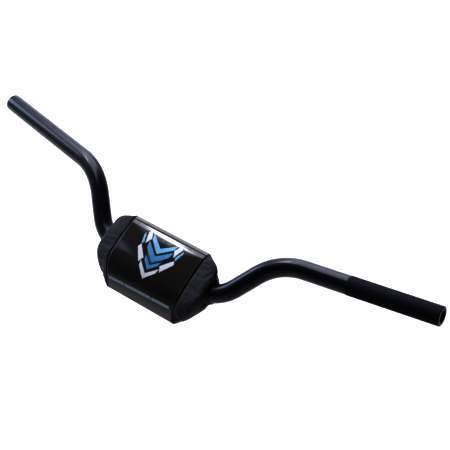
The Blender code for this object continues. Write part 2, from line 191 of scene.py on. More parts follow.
def signed_volume(mesh):
    mesh.calc_loop_triangles()
    places = np.empty(len(mesh.vertices) * 3)
    mesh.vertices.foreach_get("co", places)
    corners = np.empty(len(mesh.loop_triangles) * 3, int)
    mesh.loop_triangles.foreach_get("vertices", corners)
    points = places.reshape(-1, 3)[corners.reshape(-1, 3)]
    return float(np.einsum("ij,ij->i", points[:, 0], np.cross(points[:, 1], points[:, 2])).sum())


def new_piece(name, points, faces, materials, uv=None, kinds=None, sharp=None):
    """A smooth-shaded object with its faces pointing out. uv holds a place for each point."""
    mesh = bpy.data.meshes.new(name)
    mesh.from_pydata(np.asarray(points).tolist(), [], [list(map(int, face)) for face in faces])
    if signed_volume(mesh) < 0:
        mesh.flip_normals()
    if uv is not None:
        corners = np.empty(len(mesh.loops), int)
        mesh.loops.foreach_get("vertex_index", corners)
        layer = mesh.uv_layers.new(name="UVMap")
        layer.data.foreach_set("uv", np.asarray(uv)[corners].ravel())
    for material in materials:
        mesh.materials.append(material)
    if kinds is not None:
        mesh.polygons.foreach_set("material_index", np.asarray(kinds, int))
    mesh.shade_smooth()
    if sharp:
        mesh.set_sharp_from_angle(angle=math.radians(sharp))
    mesh.update()
    item = bpy.data.objects.new(name, mesh)
    bpy.context.scene.collection.objects.link(item)
    return item


def place_piece(item, slot, *nodes):
    """Rides a finished piece on the body and hides the nodes that it stands for; slot is not used."""
    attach(item, BODY)
    if nodes:
        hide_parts(*nodes)


# Materials


def tinted(colour_value, share):
    """The colour, darker or lighter by a share."""
    return tuple(min(channel * share, 1) for channel in colour_value)


class Nodes:
    """Short calls for the nodes used here, in one node tree."""

    def __init__(self, tree):
        self.tree = tree

    def node(self, kind, **values):
        item = self.tree.nodes.new(kind)
        for name, value in values.items():
            setattr(item, name, value)
        return item

    def link(self, start, end):
        self.tree.links.new(start, end)

    def split(self, vector):
        """X, Y and Z sockets of a vector."""
        item = self.node("ShaderNodeSeparateXYZ")
        self.link(vector, item.inputs[0])
        return item.outputs[:3]

    def math(self, operation, first, second=0.0):
        item = self.node("ShaderNodeMath", operation=operation)
        for number, value in enumerate((first, second)):
            if isinstance(value, (int, float)):
                item.inputs[number].default_value = value
            else:
                self.link(value, item.inputs[number])
        return item.outputs[0]

    def off_middle(self, share):
        """How far a share, 0 to 1, is from its middle."""
        return self.math("ABSOLUTE", self.math("SUBTRACT", share, 0.5))

    def spread(self, value, low, high, start=0.3, end=0.7, curve="LINEAR"):
        """Spreads start to end of a value over low to high."""
        item = self.node("ShaderNodeMapRange", interpolation_type=curve)
        limits = {"From Min": start, "From Max": end, "To Min": low, "To Max": high}
        for socket, limit in limits.items():
            item.inputs[socket].default_value = limit
        self.link(value, item.inputs["Value"])
        return item.outputs["Result"]


class Finish(Nodes):
    """A Principled material under construction."""

    def __init__(self, name, roughness, **sockets):
        self.material = bpy.data.materials.new(name)
        self.material.use_nodes = True
        super().__init__(self.material.node_tree)
        self.shader = self.tree.nodes["Principled BSDF"]
        self.shader.inputs["Roughness"].default_value = roughness
        for socket, value in sockets.items():
            self.shader.inputs[socket.replace("_", " ")].default_value = value

    def coordinates(self, kind="Object", scale=(1, 1, 1)):
        source = self.node("ShaderNodeTexCoord")
        mapping = self.node("ShaderNodeMapping")
        mapping.inputs["Scale"].default_value = scale
        self.link(source.outputs[kind], mapping.inputs["Vector"])
        return mapping.outputs["Vector"]

    def noise(self, vector, scale, detail):
        item = self.node("ShaderNodeTexNoise")
        item.inputs["Scale"].default_value = scale
        item.inputs["Detail"].default_value = detail
        self.link(vector, item.inputs["Vector"])
        return item.outputs["Fac"]

    def blend(self, share, first, second):
        """Colour between first and second; each is a plain colour or a socket."""
        item = self.node("ShaderNodeMix", data_type="RGBA")
        self.link(share, item.inputs["Factor"])
        for socket, value in ((item.inputs[6], first), (item.inputs[7], second)):
            if isinstance(value, bpy.types.NodeSocket):
                self.link(value, socket)
            else:
                socket.default_value = (*value, 1)
        return item.outputs[2]

    def base(self, socket):
        self.link(socket, self.shader.inputs["Base Color"])

    def roughness(self, socket):
        self.link(socket, self.shader.inputs["Roughness"])

    def bump(self, shape, height, strength=1.0):
        item = self.node("ShaderNodeBump")
        item.inputs["Distance"].default_value = height
        item.inputs["Strength"].default_value = strength
        self.link(shape, item.inputs["Height"])
        last = self.shader.inputs["Normal"]
        if last.is_linked:
            self.link(last.links[0].from_socket, item.inputs["Normal"])
        self.link(item.outputs["Normal"], last)

    def mottle(self, vector, colour_value, low, high, scale, detail):
        """Base colour that wavers between two shares of a colour."""
        share = self.noise(vector, scale, detail)
        self.base(self.blend(share, tinted(colour_value, low), tinted(colour_value, high)))

    def polish(self, vector, low, high, scale, detail):
        """Roughness that wavers between two values."""
        self.roughness(self.spread(self.noise(vector, scale, detail), low, high))

    def grain(self, vector, height, strength, scale, detail):
        """Bumps of a noise."""
        self.bump(self.noise(vector, scale, detail), height, strength)

    def lifted(self, wave):
        """A wave of -1 to 1 as 0 to 1."""
        return self.math("ADD", self.math("MULTIPLY", wave, 0.5), 0.5)

    def weave(self, pitch):
        """Height of a plain weave, 0 to 1, from the piece's own UV, which is in metres."""
        across, down, _ = self.split(self.coordinates("UV", (2 * math.pi / pitch,) * 3))
        return self.lifted(self.math("MULTIPLY", self.math("SINE", across), self.math("SINE", down)))


def tube_gloss(finish):
    made = Finish("tube_gloss_black", 0.2, Coat_Weight=0.03, Coat_Roughness=0.07, Specular_IOR_Level=0.13)
    vector = made.coordinates()
    made.mottle(vector, finish.tube, low=0.8, high=1.3, scale=9, detail=2)
    made.polish(vector, low=0.19, high=0.25, scale=60, detail=4)
    made.grain(vector, height=0.01 * MM, strength=0.4, scale=900, detail=2)
    return made.material


def tube_knurl(finish):
    made = Finish("tube_knurled_grip", 0.62, Specular_IOR_Level=0.05)
    vector = made.coordinates()
    made.mottle(vector, finish.tube, low=0.6, high=1.8, scale=700, detail=4)
    made.polish(vector, low=0.55, high=0.72, scale=300, detail=4)
    made.grain(vector, height=0.04 * MM, strength=0.7, scale=2600, detail=3)
    return made.material


def tube_bore(finish):
    made = Finish("tube_bore_metal", 0.5, Metallic=0.7)
    vector = made.coordinates(scale=(1, 6, 6))
    made.mottle(vector, finish.bare, low=0.7, high=1.3, scale=140, detail=4)
    made.polish(vector, low=0.42, high=0.6, scale=90, detail=3)
    return made.material


def vinyl_gloss(finish):
    made = Finish("pad_vinyl_gloss", 0.06, Coat_Weight=0.03, Coat_Roughness=0.04, Specular_IOR_Level=0.22)
    vector = made.coordinates()
    made.mottle(vector, finish.vinyl, low=0.6, high=1.6, scale=24, detail=3)
    made.polish(vector, low=0.045, high=0.08, scale=130, detail=4)
    made.grain(vector, height=0.01 * MM, strength=0.4, scale=500, detail=3)
    return made.material


def woven(name, dark, light, pitch, roughness, height, sheen=0.15):
    """Plain weave of dark and light threads on a slightly wavy cloth."""
    made = Finish(name, roughness, Sheen_Weight=sheen, Sheen_Roughness=0.45, Specular_IOR_Level=0.2)
    threads = made.weave(pitch)
    flat = made.coordinates("UV")
    uneven = made.noise(flat, scale=500, detail=4)
    share = made.math("MULTIPLY", threads, made.spread(uneven, 0.55, 1.0))
    made.base(made.blend(share, dark, light))
    made.roughness(made.spread(uneven, roughness - 0.06, roughness + 0.06))
    made.bump(threads, height)
    made.grain(flat, height=0.25 * MM, strength=0.3, scale=90, detail=3)
    return made.material


def woven_lining(name, finish):
    light = tinted(finish.lining, 2.4)
    return woven(name, finish.lining, light, pitch=1.3 * MM, roughness=0.85, height=0.14 * MM)


def ribbed_tape(finish, width, pitch):
    """Grey tape with dark edges. The piece's V runs 0 to its width across the tape."""
    made = Finish("pad_band_tape", 0.6, Sheen_Weight=0.15, Specular_IOR_Level=0.25)
    flat = made.coordinates("UV")
    along, across, _ = made.split(flat)
    edge = made.spread(made.off_middle(made.math("DIVIDE", across, width)), 0.0, 1.0, 0.43, 0.47)
    picks = made.lifted(made.math("SINE", made.math("MULTIPLY", along, 2 * math.pi / pitch)))
    uneven = made.noise(flat, scale=700, detail=3)
    share = made.math("MULTIPLY", picks, made.spread(uneven, 0.4, 1.0))
    threads = made.blend(share, tinted(finish.band, 0.75), tinted(finish.band, 1.2))
    made.base(made.blend(edge, threads, finish.band_edge))
    made.roughness(made.spread(uneven, 0.5, 0.7))
    made.bump(picks, height=0.08 * MM, strength=0.8)
    return made.material


def fuzzy(name, colour_value, scale):
    made = Finish(name, 0.95, Sheen_Weight=0.4, Sheen_Roughness=0.6, Specular_IOR_Level=0.15)
    vector = made.coordinates()
    made.mottle(vector, colour_value, low=0.5, high=1.8, scale=scale, detail=5)
    made.polish(vector, low=0.88, high=1.0, scale=scale / 2, detail=3)
    made.grain(vector, height=0.4 * MM, strength=0.8, scale=scale, detail=4)
    return made.material


def foam_cells(finish):
    made = Finish("pad_foam_cells", 0.95, Specular_IOR_Level=0.2)
    vector = made.coordinates()
    cells = made.node("ShaderNodeTexVoronoi")
    cells.inputs["Scale"].default_value = 1400
    made.link(vector, cells.inputs["Vector"])
    depth = cells.outputs["Distance"]
    # Painted shade in the pores: each pore is darker towards its deepest point and lighter at its walls,
    # from the same depth that bumps them.
    made.base(made.blend(depth, tinted(finish.foam, 0.6), tinted(finish.foam, 1.3)))
    made.polish(vector, low=0.9, high=1.0, scale=200, detail=3)
    made.bump(depth, height=0.15 * MM, strength=0.7)
    return made.material


def ink(name, colour_value, roughness):
    made = Finish(name, roughness, Coat_Weight=0.05, Coat_Roughness=0.05, Specular_IOR_Level=0.3)
    vector = made.coordinates()
    made.mottle(vector, colour_value, low=0.88, high=1.08, scale=220, detail=4)
    made.polish(vector, low=roughness - 0.04, high=roughness + 0.08, scale=160, detail=3)
    made.grain(vector, height=0.01 * MM, strength=0.4, scale=500, detail=3)
    return made.material


def spun_thread(finish):
    made = Finish("pad_thread", 0.7, Sheen_Weight=0.2, Specular_IOR_Level=0.25)
    vector = made.coordinates()
    made.mottle(vector, finish.thread, low=0.6, high=1.7, scale=3000, detail=2)
    made.grain(vector, height=0.05 * MM, strength=0.6, scale=4000, detail=2)
    return made.material


# Course of the tube


class Course:
    """Centre line of the tube, and its radii, from the settings."""

    # Spacing of the rings on the straights and in the bends, rings in a taper, and least spacing
    STRAIGHT_STEP, BEND_STEP, TAPER_STEPS = 14 * MM, 2.4 * MM, 14
    LEAST_STEP = 1 * MM

    def __init__(self, tube):
        self.tube = tube
        across = math.sin(tube.riser_angle)
        riser = Vector((math.cos(tube.riser_angle), across * math.sin(tube.riser_lean),
                        across * math.cos(tube.riser_lean)))
        level = math.cos(tube.rise)
        grip = Vector((level * math.cos(tube.sweep), level * math.sin(tube.sweep), math.sin(tube.rise)))
        directions = [Vector((1, 0, 0)), riser, grip]
        straights = [tube.clamp_half, tube.riser, tube.grip]
        bends = [tube.lower_bend, tube.upper_bend]
        place = Vector((0, 0, 0))
        self.legs = []
        for number, direction in enumerate(directions):
            self.legs.append((place.copy(), direction, straights[number], None, 0))
            place += direction * straights[number]
            if number < len(bends):
                radius = bends[number]
                axis = direction.cross(directions[number + 1]).normalized()
                turned = direction.angle(directions[number + 1])
                self.legs.append((place.copy(), direction, radius * turned, axis, radius))
                centre = place + axis.cross(direction) * radius
                place = centre + Matrix.Rotation(turned, 3, axis) @ (place - centre)
        self.half = sum(leg[2] for leg in self.legs)

    def at(self, distance):
        """Place and direction; a negative distance is on the -X side."""
        left = abs(distance)
        for number, (start, direction, reach, axis, radius) in enumerate(self.legs):
            if left <= reach or number == len(self.legs) - 1:
                break
            left -= reach
        if axis is None:
            place = start + direction * left
            heading = direction.copy()
        else:
            centre = start + axis.cross(direction) * radius
            turn = Matrix.Rotation(left / radius, 3, axis)
            place = centre + turn @ (start - centre)
            heading = turn @ direction
        if distance < 0:
            place.x = -place.x
            heading = Vector((heading.x, -heading.y, -heading.z))
        return place, heading

    def at_x(self, x):
        """Distance where the centre line passes a given X on the +X side."""
        low, high = 0.0, self.half
        for _ in range(40):
            middle = (low + high) / 2
            if self.at(middle)[0].x < x:
                low = middle
            else:
                high = middle
        return low

    def tapered(self, clamp_size, grip_size, distance):
        """A size between its values over the clamp and at the grips."""
        share = float(smoothstep(0, 1, (abs(distance) - self.tube.full_half) / self.tube.taper))
        return clamp_size + (grip_size - clamp_size) * share

    def radius(self, distance):
        return self.tapered(self.tube.clamp_diameter, self.tube.grip_diameter, distance) / 2

    def bore(self, distance):
        return self.radius(distance) - self.tapered(self.tube.clamp_wall, self.tube.grip_wall, distance)

    def square_at(self, distance):
        """Place, and the two directions square to the tube, the first one uppermost."""
        place, heading = self.at(distance)
        up = Vector((0, 0, 1))
        across = (up - heading * up.dot(heading)).normalized()
        return np.array(place), np.array(across), np.array(heading.cross(across))

    def stations(self):
        """Distances on one half: close together in the bends and the taper, wide on the straights."""
        found = {0.0}
        done = 0.0
        for _, _, reach, axis, _ in self.legs:
            steps = max(1, round(reach / (self.STRAIGHT_STEP if axis is None else self.BEND_STEP)))
            found.update(done + reach * step / steps for step in range(steps + 1))
            done += reach
        found.update(self.tube.full_half + self.tube.taper * step / self.TAPER_STEPS
                     for step in range(self.TAPER_STEPS + 1))
        ordered = []
        for value in sorted(found):
            if not ordered or value - ordered[-1] > self.LEAST_STEP:
                ordered.append(value)
        return ordered


class HANDLEBAR_OT_tube(bpy.types.Operator):
    """Bent, tapered tube with plain ends, an open bore and a knurled grip stretch"""

    bl_idname = "handlebar.tube"
    bl_label = "Handlebar tube"

    GLOSS, KNURL, BORE = range(3)
    # Step in from the end, and how much the radius grows there, in millimetres, outside and in the bore
    CHAMFER = [(0, -0.8), (0.25, -0.42), (0.8, -0.08), (1.3, 0)]
    MOUTH = [(0, 0.5), (0.25, 0.2), (0.7, 0)]
    END_CLEAR = 3 * MM
    BORE_EVERY = 3
    # The knurl: how far before it the plain rings end and the last one stands, how far in its first
    # row is, what its two ends leave free, and the spacing and half width of its grooves in rows
    KNURL_CLEAR, KNURL_EDGE, KNURL_START = 1 * MM, 0.2 * MM, 0.4 * MM
    ROW = 0.5 * MM
    KNURL_ENDS = 2 * MM
    GROOVE_SPACING, GROOVE_HALF = 4, 1.5
    PLAIN = -1

    def rings(self, course):
        """Distance, radius, finish and knurl row of each ring, out along the tube and back inside."""
        tube = course.tube
        end = course.half
        start = end - tube.knurl
        chamfer = [(step * MM, more * MM) for step, more in self.CHAMFER]
        mouth = [(step * MM, more * MM) for step, more in self.MOUTH]
        half = [value for value in course.stations() if value < end - self.END_CLEAR]
        bare = [value for value in half if 0 < value < start - self.KNURL_CLEAR]
        wide = half[::self.BORE_EVERY]
        plain = course.radius(end)
        raised = plain + tube.knurl_height
        bore = course.bore(end)
        outside = [(-end + step, plain + more) for step, more in chamfer]
        outside += [(-value, course.radius(value)) for value in reversed(half)]
        outside += [(value, course.radius(value)) for value in bare] + [(start - self.KNURL_EDGE, plain)]
        inside = [(end - step, bore + more) for step, more in mouth]
        inside += [(value, course.bore(value)) for value in reversed(wide)]
        inside += [(-value, course.bore(value)) for value in wide if value > 0]
        inside += [(-end + step, bore + more) for step, more in reversed(mouth)]
        rings = [(*ring, self.GLOSS, self.PLAIN) for ring in outside]
        rings.append((start, plain, self.KNURL, self.PLAIN))
        for row in range(int((tube.knurl - self.KNURL_ENDS) / self.ROW)):
            rings.append((start + self.KNURL_START + row * self.ROW, raised, self.KNURL, row))
        rings += [(end - step, raised + more, self.KNURL, self.PLAIN) for step, more in reversed(chamfer)]
        rings += [(*ring, self.BORE, self.PLAIN) for ring in inside]
        return rings

    def groove(self, row, columns):
        """How deep the knurl is cut, 0 to 1, by grooves that run both ways round."""
        spacing = self.GROOVE_SPACING
        off = [np.abs(turned % spacing - spacing // 2) for turned in (row + columns, row - columns)]
        return 1 - np.minimum(np.minimum(*off), self.GROOVE_HALF) / self.GROOVE_HALF

    def execute(self, context):
        tube = context.scene.handlebar_tube
        finish = context.scene.handlebar_finish
        course = Course(tube)
        rings = self.rings(course)
        columns = np.arange(tube.sides)
        turned = 2 * math.pi * columns / tube.sides
        points = []
        for distance, radius, _, row in rings:
            place, across, side = course.square_at(distance)
            reach = np.full(tube.sides, radius)
            if row != self.PLAIN:
                reach -= tube.knurl_depth * self.groove(row, columns)
            spokes = across * np.cos(turned)[:, None] + side * np.sin(turned)[:, None]
            points.append(place + spokes * reach[:, None])
        faces = grid_faces(len(rings), tube.sides, wrap_rows=True, wrap_columns=True)
        kinds = [rings[(number + 1) % len(rings)][2] for number in range(len(rings))]
        kinds = np.repeat(kinds, tube.sides)
        materials = [tube_gloss(finish), tube_knurl(finish), tube_bore(finish)]
        item = new_piece("tube", np.concatenate(points), faces, materials, kinds=kinds, sharp=40)
        place_piece(item, "tube", "handlebar_tube")
        return {"FINISHED"}


# Form of the pad

# Corners of the pad's section, in order round it: fillet, squareness at the ends (1 is a straight
# cone, 2 is round) and how far the cover stands off the tube at the cuff
CORNERS = {
    "top_rear": (2 * MM, 1.2, 3 * MM),
    "top_front": (6 * MM, 3.3, 8.6 * MM),
    "slope": (14 * MM, 3.1, 6.3 * MM),
    "knee": (9 * MM, 3.8, 9.5 * MM),
    "low_front": (8 * MM, 2.1, 2 * MM),
    "bottom_front": (4 * MM, 1.35, 4.8 * MM),
    "bottom_rear": (8 * MM, 1.2, 2 * MM),
    "rear_low": (9 * MM, 1.0, 3 * MM),
    "rear_mid": (12 * MM, 1.5, 2.4 * MM),
}
CORNER_COUNT = len(CORNERS)
FILLET_LIMIT = 0.45
TUBE_CLEARANCE = 0.3 * MM

# Turns of the seams: a whole number is the middle of that corner's fillet
TOP_REAR, TOP_FRONT, BOTTOM_FRONT, BOTTOM_REAR, SLIT = 0.0, 0.925, 5.0, 6.0, 7.5


class PadForm:
    """The pad's outside. Along runs 0 at the middle, 1 at an end seam and 2 at the cuff, and is
    negative on the -X side. Turn counts the corners of the section, forward over the top."""

    # Share of a turn that a fillet takes, steps that the outward direction is read over, and steps
    # that the girth is measured in
    ROUND = 0.3
    ALONG_STEP, TURN_STEP = 0.02, 0.06
    GIRTH_STEPS = 1800

    # The cloth: its grid, its settings, the frames that it takes to settle, and how often its
    # movement is evened out in the middle
    ROWS, COLUMNS = 81, 108
    CLOTH = {"quality": 8, "mass": 0.15, "tension_stiffness": 30, "compression_stiffness": 30,
             "shear_stiffness": 10, "bending_stiffness": 0.8}
    LAST_FRAME = 20
    EVENING_ROUNDS = 6

    # Ripples round the ends: how many, how far and how often their spacing wanders, and their
    # height in millimetres
    GATHER, FINE_GATHER = (19, 1.7, 3, 0.24), (43, 2.1, 5, 0.12)
    PUCKER = (34, 2.6, 4, 0.07)
    GATHER_START, GATHER_TWIST = 0.55, 2.2
    PUCKER_FADE = 0.16
    LEFT_SHIFT = 3.7

    # Creases in both end panels: where each is deepest, starts and ends along, its turn, and its
    # width and depth in millimetres. Each slants, and has a lip beside it.
    CREASES = [(1.36, 1.14, 1.62, 2.05, 0.9, 0.6), (1.30, 1.10, 1.52, 2.45, 1.1, 0.3),
               (1.45, 1.2, 1.75, 4.2, 1.2, 0.4)]
    CREASE_SLANT = 2.2
    LIP_SHARE, LIP_SHIFT = 0.6, 1.9

    def __init__(self, pad, course):
        self.pad = pad
        self.course = course
        self.set_corners()
        turns = np.linspace(0, CORNER_COUNT, self.GIRTH_STEPS + 1)
        steps = np.linalg.norm(np.diff(self.bare(np.zeros_like(turns), turns), axis=0), axis=1)
        self.turn_marks = turns
        self.turn_lengths = np.concatenate([[0], np.cumsum(steps)])
        self.girth = self.turn_lengths[-1]
        self.swell = np.zeros((self.ROWS, self.COLUMNS, 3))
        self.shrunk = 0.0

    def set_corners(self):
        """Depth, height and seam of each corner, and its place at the cuff."""
        pad = self.pad
        run = pad.top_edge - pad.knee_depth
        rise = pad.top - pad.knee_height
        across = math.hypot(run, rise)
        slope_depth = (pad.top_edge + pad.knee_depth) / 2 - pad.crown * rise / across
        slope_height = (pad.top + pad.knee_height) / 2 + pad.crown * run / across
        places = [
            (pad.top_edge + pad.band, pad.top, pad.top_seam),
            (pad.top_edge, pad.top, pad.top_seam),
            (slope_depth, slope_height, pad.top_seam),
            (pad.knee_depth, pad.knee_height, pad.top_seam),
            (pad.front, pad.low_front, pad.low_seam),
            (pad.front + pad.bottom_setback, pad.bottom + pad.bottom_rise, pad.low_seam),
            (pad.bottom_rear, pad.bottom, pad.low_seam),
            (pad.rear - pad.rear_setback, pad.rear_low, pad.low_seam),
            (pad.rear, pad.rear_mid, pad.top_seam),
        ]
        self.depth, self.height, self.seam = np.array(places).T
        self.fillet, square, reach = np.array(list(CORNERS.values())).T
        self.power = 2 / square
        exit_at = self.course.at_x(pad.half)
        exit_place = np.array(self.course.at(exit_at)[0])
        away = unit_rows(np.stack([self.depth - exit_place[1], self.height - exit_place[2]], axis=1))
        stand = self.course.radius(exit_at) + TUBE_CLEARANCE + reach
        self.cuff = exit_place[1:] + away * stand[:, None]

    def controls(self, along):
        """Start, corner and end of each corner's fillet at each along."""
        along = np.abs(along)[:, None]
        turned = np.clip(along - 1, 0, 1) * math.pi / 2
        forward = np.maximum(np.sin(turned), 0) ** self.power
        inward = 1 - np.maximum(np.cos(turned), 0) ** self.power
        x = np.where(along <= 1, self.seam * along, self.seam + (self.pad.half - self.seam) * forward)
        y = self.depth + (self.cuff[:, 0] - self.depth) * inward
        z = self.height + (self.cuff[:, 1] - self.height) * inward
        places = np.stack([x, y, z], axis=-1)
        parts = []
        for shift in (1, -1):
            edge = np.roll(places, shift, axis=1) - places
            reach = np.linalg.norm(edge, axis=-1, keepdims=True)
            parts.append(places + edge / reach * np.minimum(self.fillet[:, None], reach * FILLET_LIMIT))
        return np.stack([parts[0], places, parts[1]], axis=2)

    def bare(self, along, turn):
        """The plain form at each pair of along and turn."""
        unique, number = np.unique(np.round(np.abs(along), 7), return_inverse=True)
        controls = self.controls(unique)
        number = number.reshape(-1)
        nearest = np.floor(turn + 0.5).astype(int)
        off = turn - nearest
        own = controls[number, nearest % CORNER_COUNT]
        share = np.clip((off + self.ROUND) / (2 * self.ROUND), 0, 1)[:, None]
        curve = own[:, 0] * (1 - share) ** 2 + own[:, 1] * 2 * share * (1 - share) + own[:, 2] * share ** 2
        side = np.where(off < 0, -1, 1)
        other = controls[number, (nearest + side) % CORNER_COUNT]
        beyond = np.clip((np.abs(off) - self.ROUND) / (1 - 2 * self.ROUND), 0, 1)[:, None]
        start = np.where(side[:, None] > 0, own[:, 2], own[:, 0])
        end = np.where(side[:, None] > 0, other[:, 0], other[:, 2])
        points = np.where((np.abs(off) <= self.ROUND)[:, None], curve, start + (end - start) * beyond)
        points[:, 0] *= np.where(along < 0, -1, 1)
        return points

    def outward(self, along, turn):
        """Direction square to the plain form at each pair."""
        further = np.clip(along + self.ALONG_STEP, -2, 2)
        nearer = np.clip(along - self.ALONG_STEP, -2, 2)
        lengthwise = self.bare(further, turn) - self.bare(nearer, turn)
        around = self.bare(along, turn + self.TURN_STEP) - self.bare(along, turn - self.TURN_STEP)
        return unit_rows(np.cross(around, lengthwise))

    def turn_at(self, share):
        """Turn at a share of the girth, so that equal shares are equal lengths."""
        share = np.asarray(share, float)
        whole = np.floor(share)
        marks = self.turn_lengths / self.girth
        return np.interp(share - whole, marks, self.turn_marks) + whole * CORNER_COUNT

    def share_at(self, turn):
        """Share of the girth at a turn."""
        turn = np.asarray(turn, float)
        whole = np.floor(turn / CORNER_COUNT)
        marks = self.turn_lengths / self.girth
        return np.interp(turn - whole * CORNER_COUNT, self.turn_marks, marks) + whole

    @staticmethod
    def four_weights(position):
        """Weights of the four marks round each position, for a smooth curve through every mark."""
        f = position - np.floor(position)
        return [-0.5 * f + f * f - 0.5 * f ** 3, 1 - 2.5 * f * f + 1.5 * f ** 3,
                0.5 * f + 2 * f * f - 1.5 * f ** 3, -0.5 * f * f + 0.5 * f ** 3]

    def swelled(self, along, turn):
        """The cloth's movement at each pair."""
        row = (np.asarray(along) + 2) / 4 * (self.ROWS - 1)
        column = (self.share_at(turn) % 1) * self.COLUMNS
        row_weights, column_weights = self.four_weights(row), self.four_weights(column)
        total = np.zeros((len(row), 3))
        for down in range(4):
            rows = np.clip(np.floor(row).astype(int) + down - 1, 0, self.ROWS - 1)
            for across in range(4):
                columns = (np.floor(column).astype(int) + across - 1) % self.COLUMNS
                weight = row_weights[down] * column_weights[across]
                total += self.swell[rows, columns] * weight[:, None]
        return total

    @staticmethod
    def ripple(kind, ring, shift, lean=0.0):
        count, wander, slow, height = kind
        return height * np.sin(count * ring + wander * np.sin(slow * ring + shift) + lean)

    def folds(self, along, turn):
        """Gathers, puckers and creases that stand along the normal."""
        share = self.share_at(turn) % 1
        off = np.abs(along)
        shift = np.where(along < 0, self.LEFT_SHIFT, 0.0)
        end = np.clip(off - 1, 0, 1)
        ring = 2 * math.pi * share
        gathers = self.ripple(self.GATHER, ring, shift, self.GATHER_TWIST * end)
        gathers = gathers + self.ripple(self.FINE_GATHER, ring, shift * 2)
        near_seam = np.exp(-end / self.PUCKER_FADE) * (off > 1)
        total = smoothstep(self.GATHER_START, 1.0, end) * gathers
        total = total + near_seam * self.ripple(self.PUCKER, ring, shift)
        for centre, low, high, place, width, depth in self.CREASES:
            across = (share - self.share_at(place)) * self.girth / MM
            slanted = across + self.CREASE_SLANT * (off - centre) * np.sign(along)
            run = depth * smoothstep(low, centre, off) * (1 - smoothstep(centre, high, off))
            lip = (slanted - self.LIP_SHIFT * width) / width
            total = total + run * (self.LIP_SHARE * np.exp(-lip ** 2) - np.exp(-(slanted / width) ** 2))
        return total * MM

    def cover(self, along, turn):
        """Places and outward directions of the finished cover at each pair."""
        pairs = np.broadcast_arrays(np.asarray(along, float), np.asarray(turn, float))
        along, turn = (part.ravel() for part in pairs)
        outward = self.outward(along, turn)
        lift = self.folds(along, turn) - self.shrunk
        return self.bare(along, turn) + outward * lift[:, None] + self.swelled(along, turn), outward

    def cover_grid(self, alongs, turns):
        """The same for every pair of a row of alongs and a row of turns."""
        places, outward = self.cover(np.asarray(alongs)[:, None], np.asarray(turns)[None, :])
        shape = (len(alongs), len(turns), 3)
        return places.reshape(shape), outward.reshape(shape)

    def simulate(self):
        """Swells the cover with cloth pressure, held at its seams and cuffs, and keeps the movement."""
        alongs = np.linspace(-2, 2, self.ROWS)
        turns = self.turn_at(np.arange(self.COLUMNS) / self.COLUMNS)
        start, outward = self.cover_grid(alongs, turns)
        start = start - outward * self.pad.inset
        item = new_piece("cover_cloth", start.reshape(-1, 3),
                         grid_faces(self.ROWS, self.COLUMNS, wrap_columns=True), [])
        quarter = (self.ROWS - 1) // 4
        seam_rows = [0, quarter, 3 * quarter, self.ROWS - 1]
        seam_turns = np.array([TOP_REAR, TOP_FRONT, BOTTOM_FRONT, BOTTOM_REAR])
        seam_columns = np.round(self.share_at(seam_turns) * self.COLUMNS).astype(int) % self.COLUMNS
        number = np.arange(self.ROWS * self.COLUMNS).reshape(self.ROWS, self.COLUMNS)
        middle = number[quarter:3 * quarter + 1]
        held = np.concatenate([number[seam_rows].ravel(), middle[:, seam_columns].ravel()])
        item.vertex_groups.new(name="held").add(held.tolist(), 1.0, "REPLACE")
        item.vertex_groups.new(name="taut").add(middle.ravel().tolist(), 1.0, "REPLACE")
        movement = self.pressed(item).reshape(start.shape) - start
        bpy.data.objects.remove(item, do_unlink=True)
        reach = np.linalg.norm(movement, axis=2, keepdims=True)
        cap = self.pad.swell_cap
        movement *= cap * np.tanh(reach / cap) / np.maximum(reach, 1e-9)
        self.swell = self.evened(movement, slice(quarter + 1, 3 * quarter), seam_columns)
        self.shrunk = self.pad.inset

    def pressed(self, item):
        """Places of the points of a cloth after it has settled under pressure."""
        cloth = item.modifiers.new("cloth", "CLOTH")
        values = cloth.settings
        for name, value in self.CLOTH.items():
            setattr(values, name, value)
        values.use_pressure = True
        values.uniform_pressure_force = self.pad.pressure
        values.vertex_group_mass = "held"
        values.vertex_group_shrink = "taut"
        values.shrink_min = -self.pad.excess
        values.shrink_max = 0.0
        values.effector_weights.gravity = 0
        cloth.collision_settings.use_collision = False
        cloth.point_cache.frame_start = 1
        cloth.point_cache.frame_end = self.LAST_FRAME
        scene = bpy.context.scene
        for frame_number in range(1, self.LAST_FRAME + 1):
            scene.frame_set(frame_number)
        settled = item.evaluated_get(bpy.context.evaluated_depsgraph_get()).data
        places = np.empty(len(settled.vertices) * 3)
        settled.vertices.foreach_get("co", places)
        scene.frame_set(1)
        return places

    def evened(self, movement, middle, seam_columns):
        """Evens out the taut middle, apart from its seams, and leaves the ends as they fell."""
        for _ in range(self.EVENING_ROUNDS):
            around = sum(np.roll(movement, step, axis=axis) for axis in (0, 1) for step in (1, -1)) / 4
            kept = movement[middle][:, seam_columns].copy()
            movement[middle] = around[middle]
            movement[middle, seam_columns] = kept
        return movement


FORM = {}


def pad_form(context):
    """The pad's form, made and swelled once for all the operators."""
    if "form" not in FORM:
        form = PadForm(context.scene.handlebar_pad, Course(context.scene.handlebar_tube))
        form.simulate()
        FORM["form"] = form
    return FORM["form"]


# Half the gap in an end seam, distances of the points near a panel's edge in millimetres, and how
# much further in a panel's underside lies
SEAM_HALF = 0.15 * MM
NEAR_EDGE = (0.0, 0.25, 0.5, 0.8, 1.2, 1.7, 2.3)
UNDER_SLACK = 0.15 * MM


def edge_steps(total, spacing):
    """Distances from 0 to total: close together at both edges and evenly spaced between."""
    near = [step * MM for step in NEAR_EDGE]
    inner = total - 2 * near[-1]
    count = max(2, round(inner / spacing))
    middle = [near[-1] + inner * step / count for step in range(1, count)]
    return np.array(near + middle + [total - step for step in reversed(near)])


def alongs_over(form, seam, margin, spacing):
    """Alongs between the end seams, less a margin at either side, in even lengths."""
    edge = 1 - margin / seam
    total = 2 * edge * form.pad.top_seam
    return edge_steps(total, spacing) / total * 2 * edge - edge


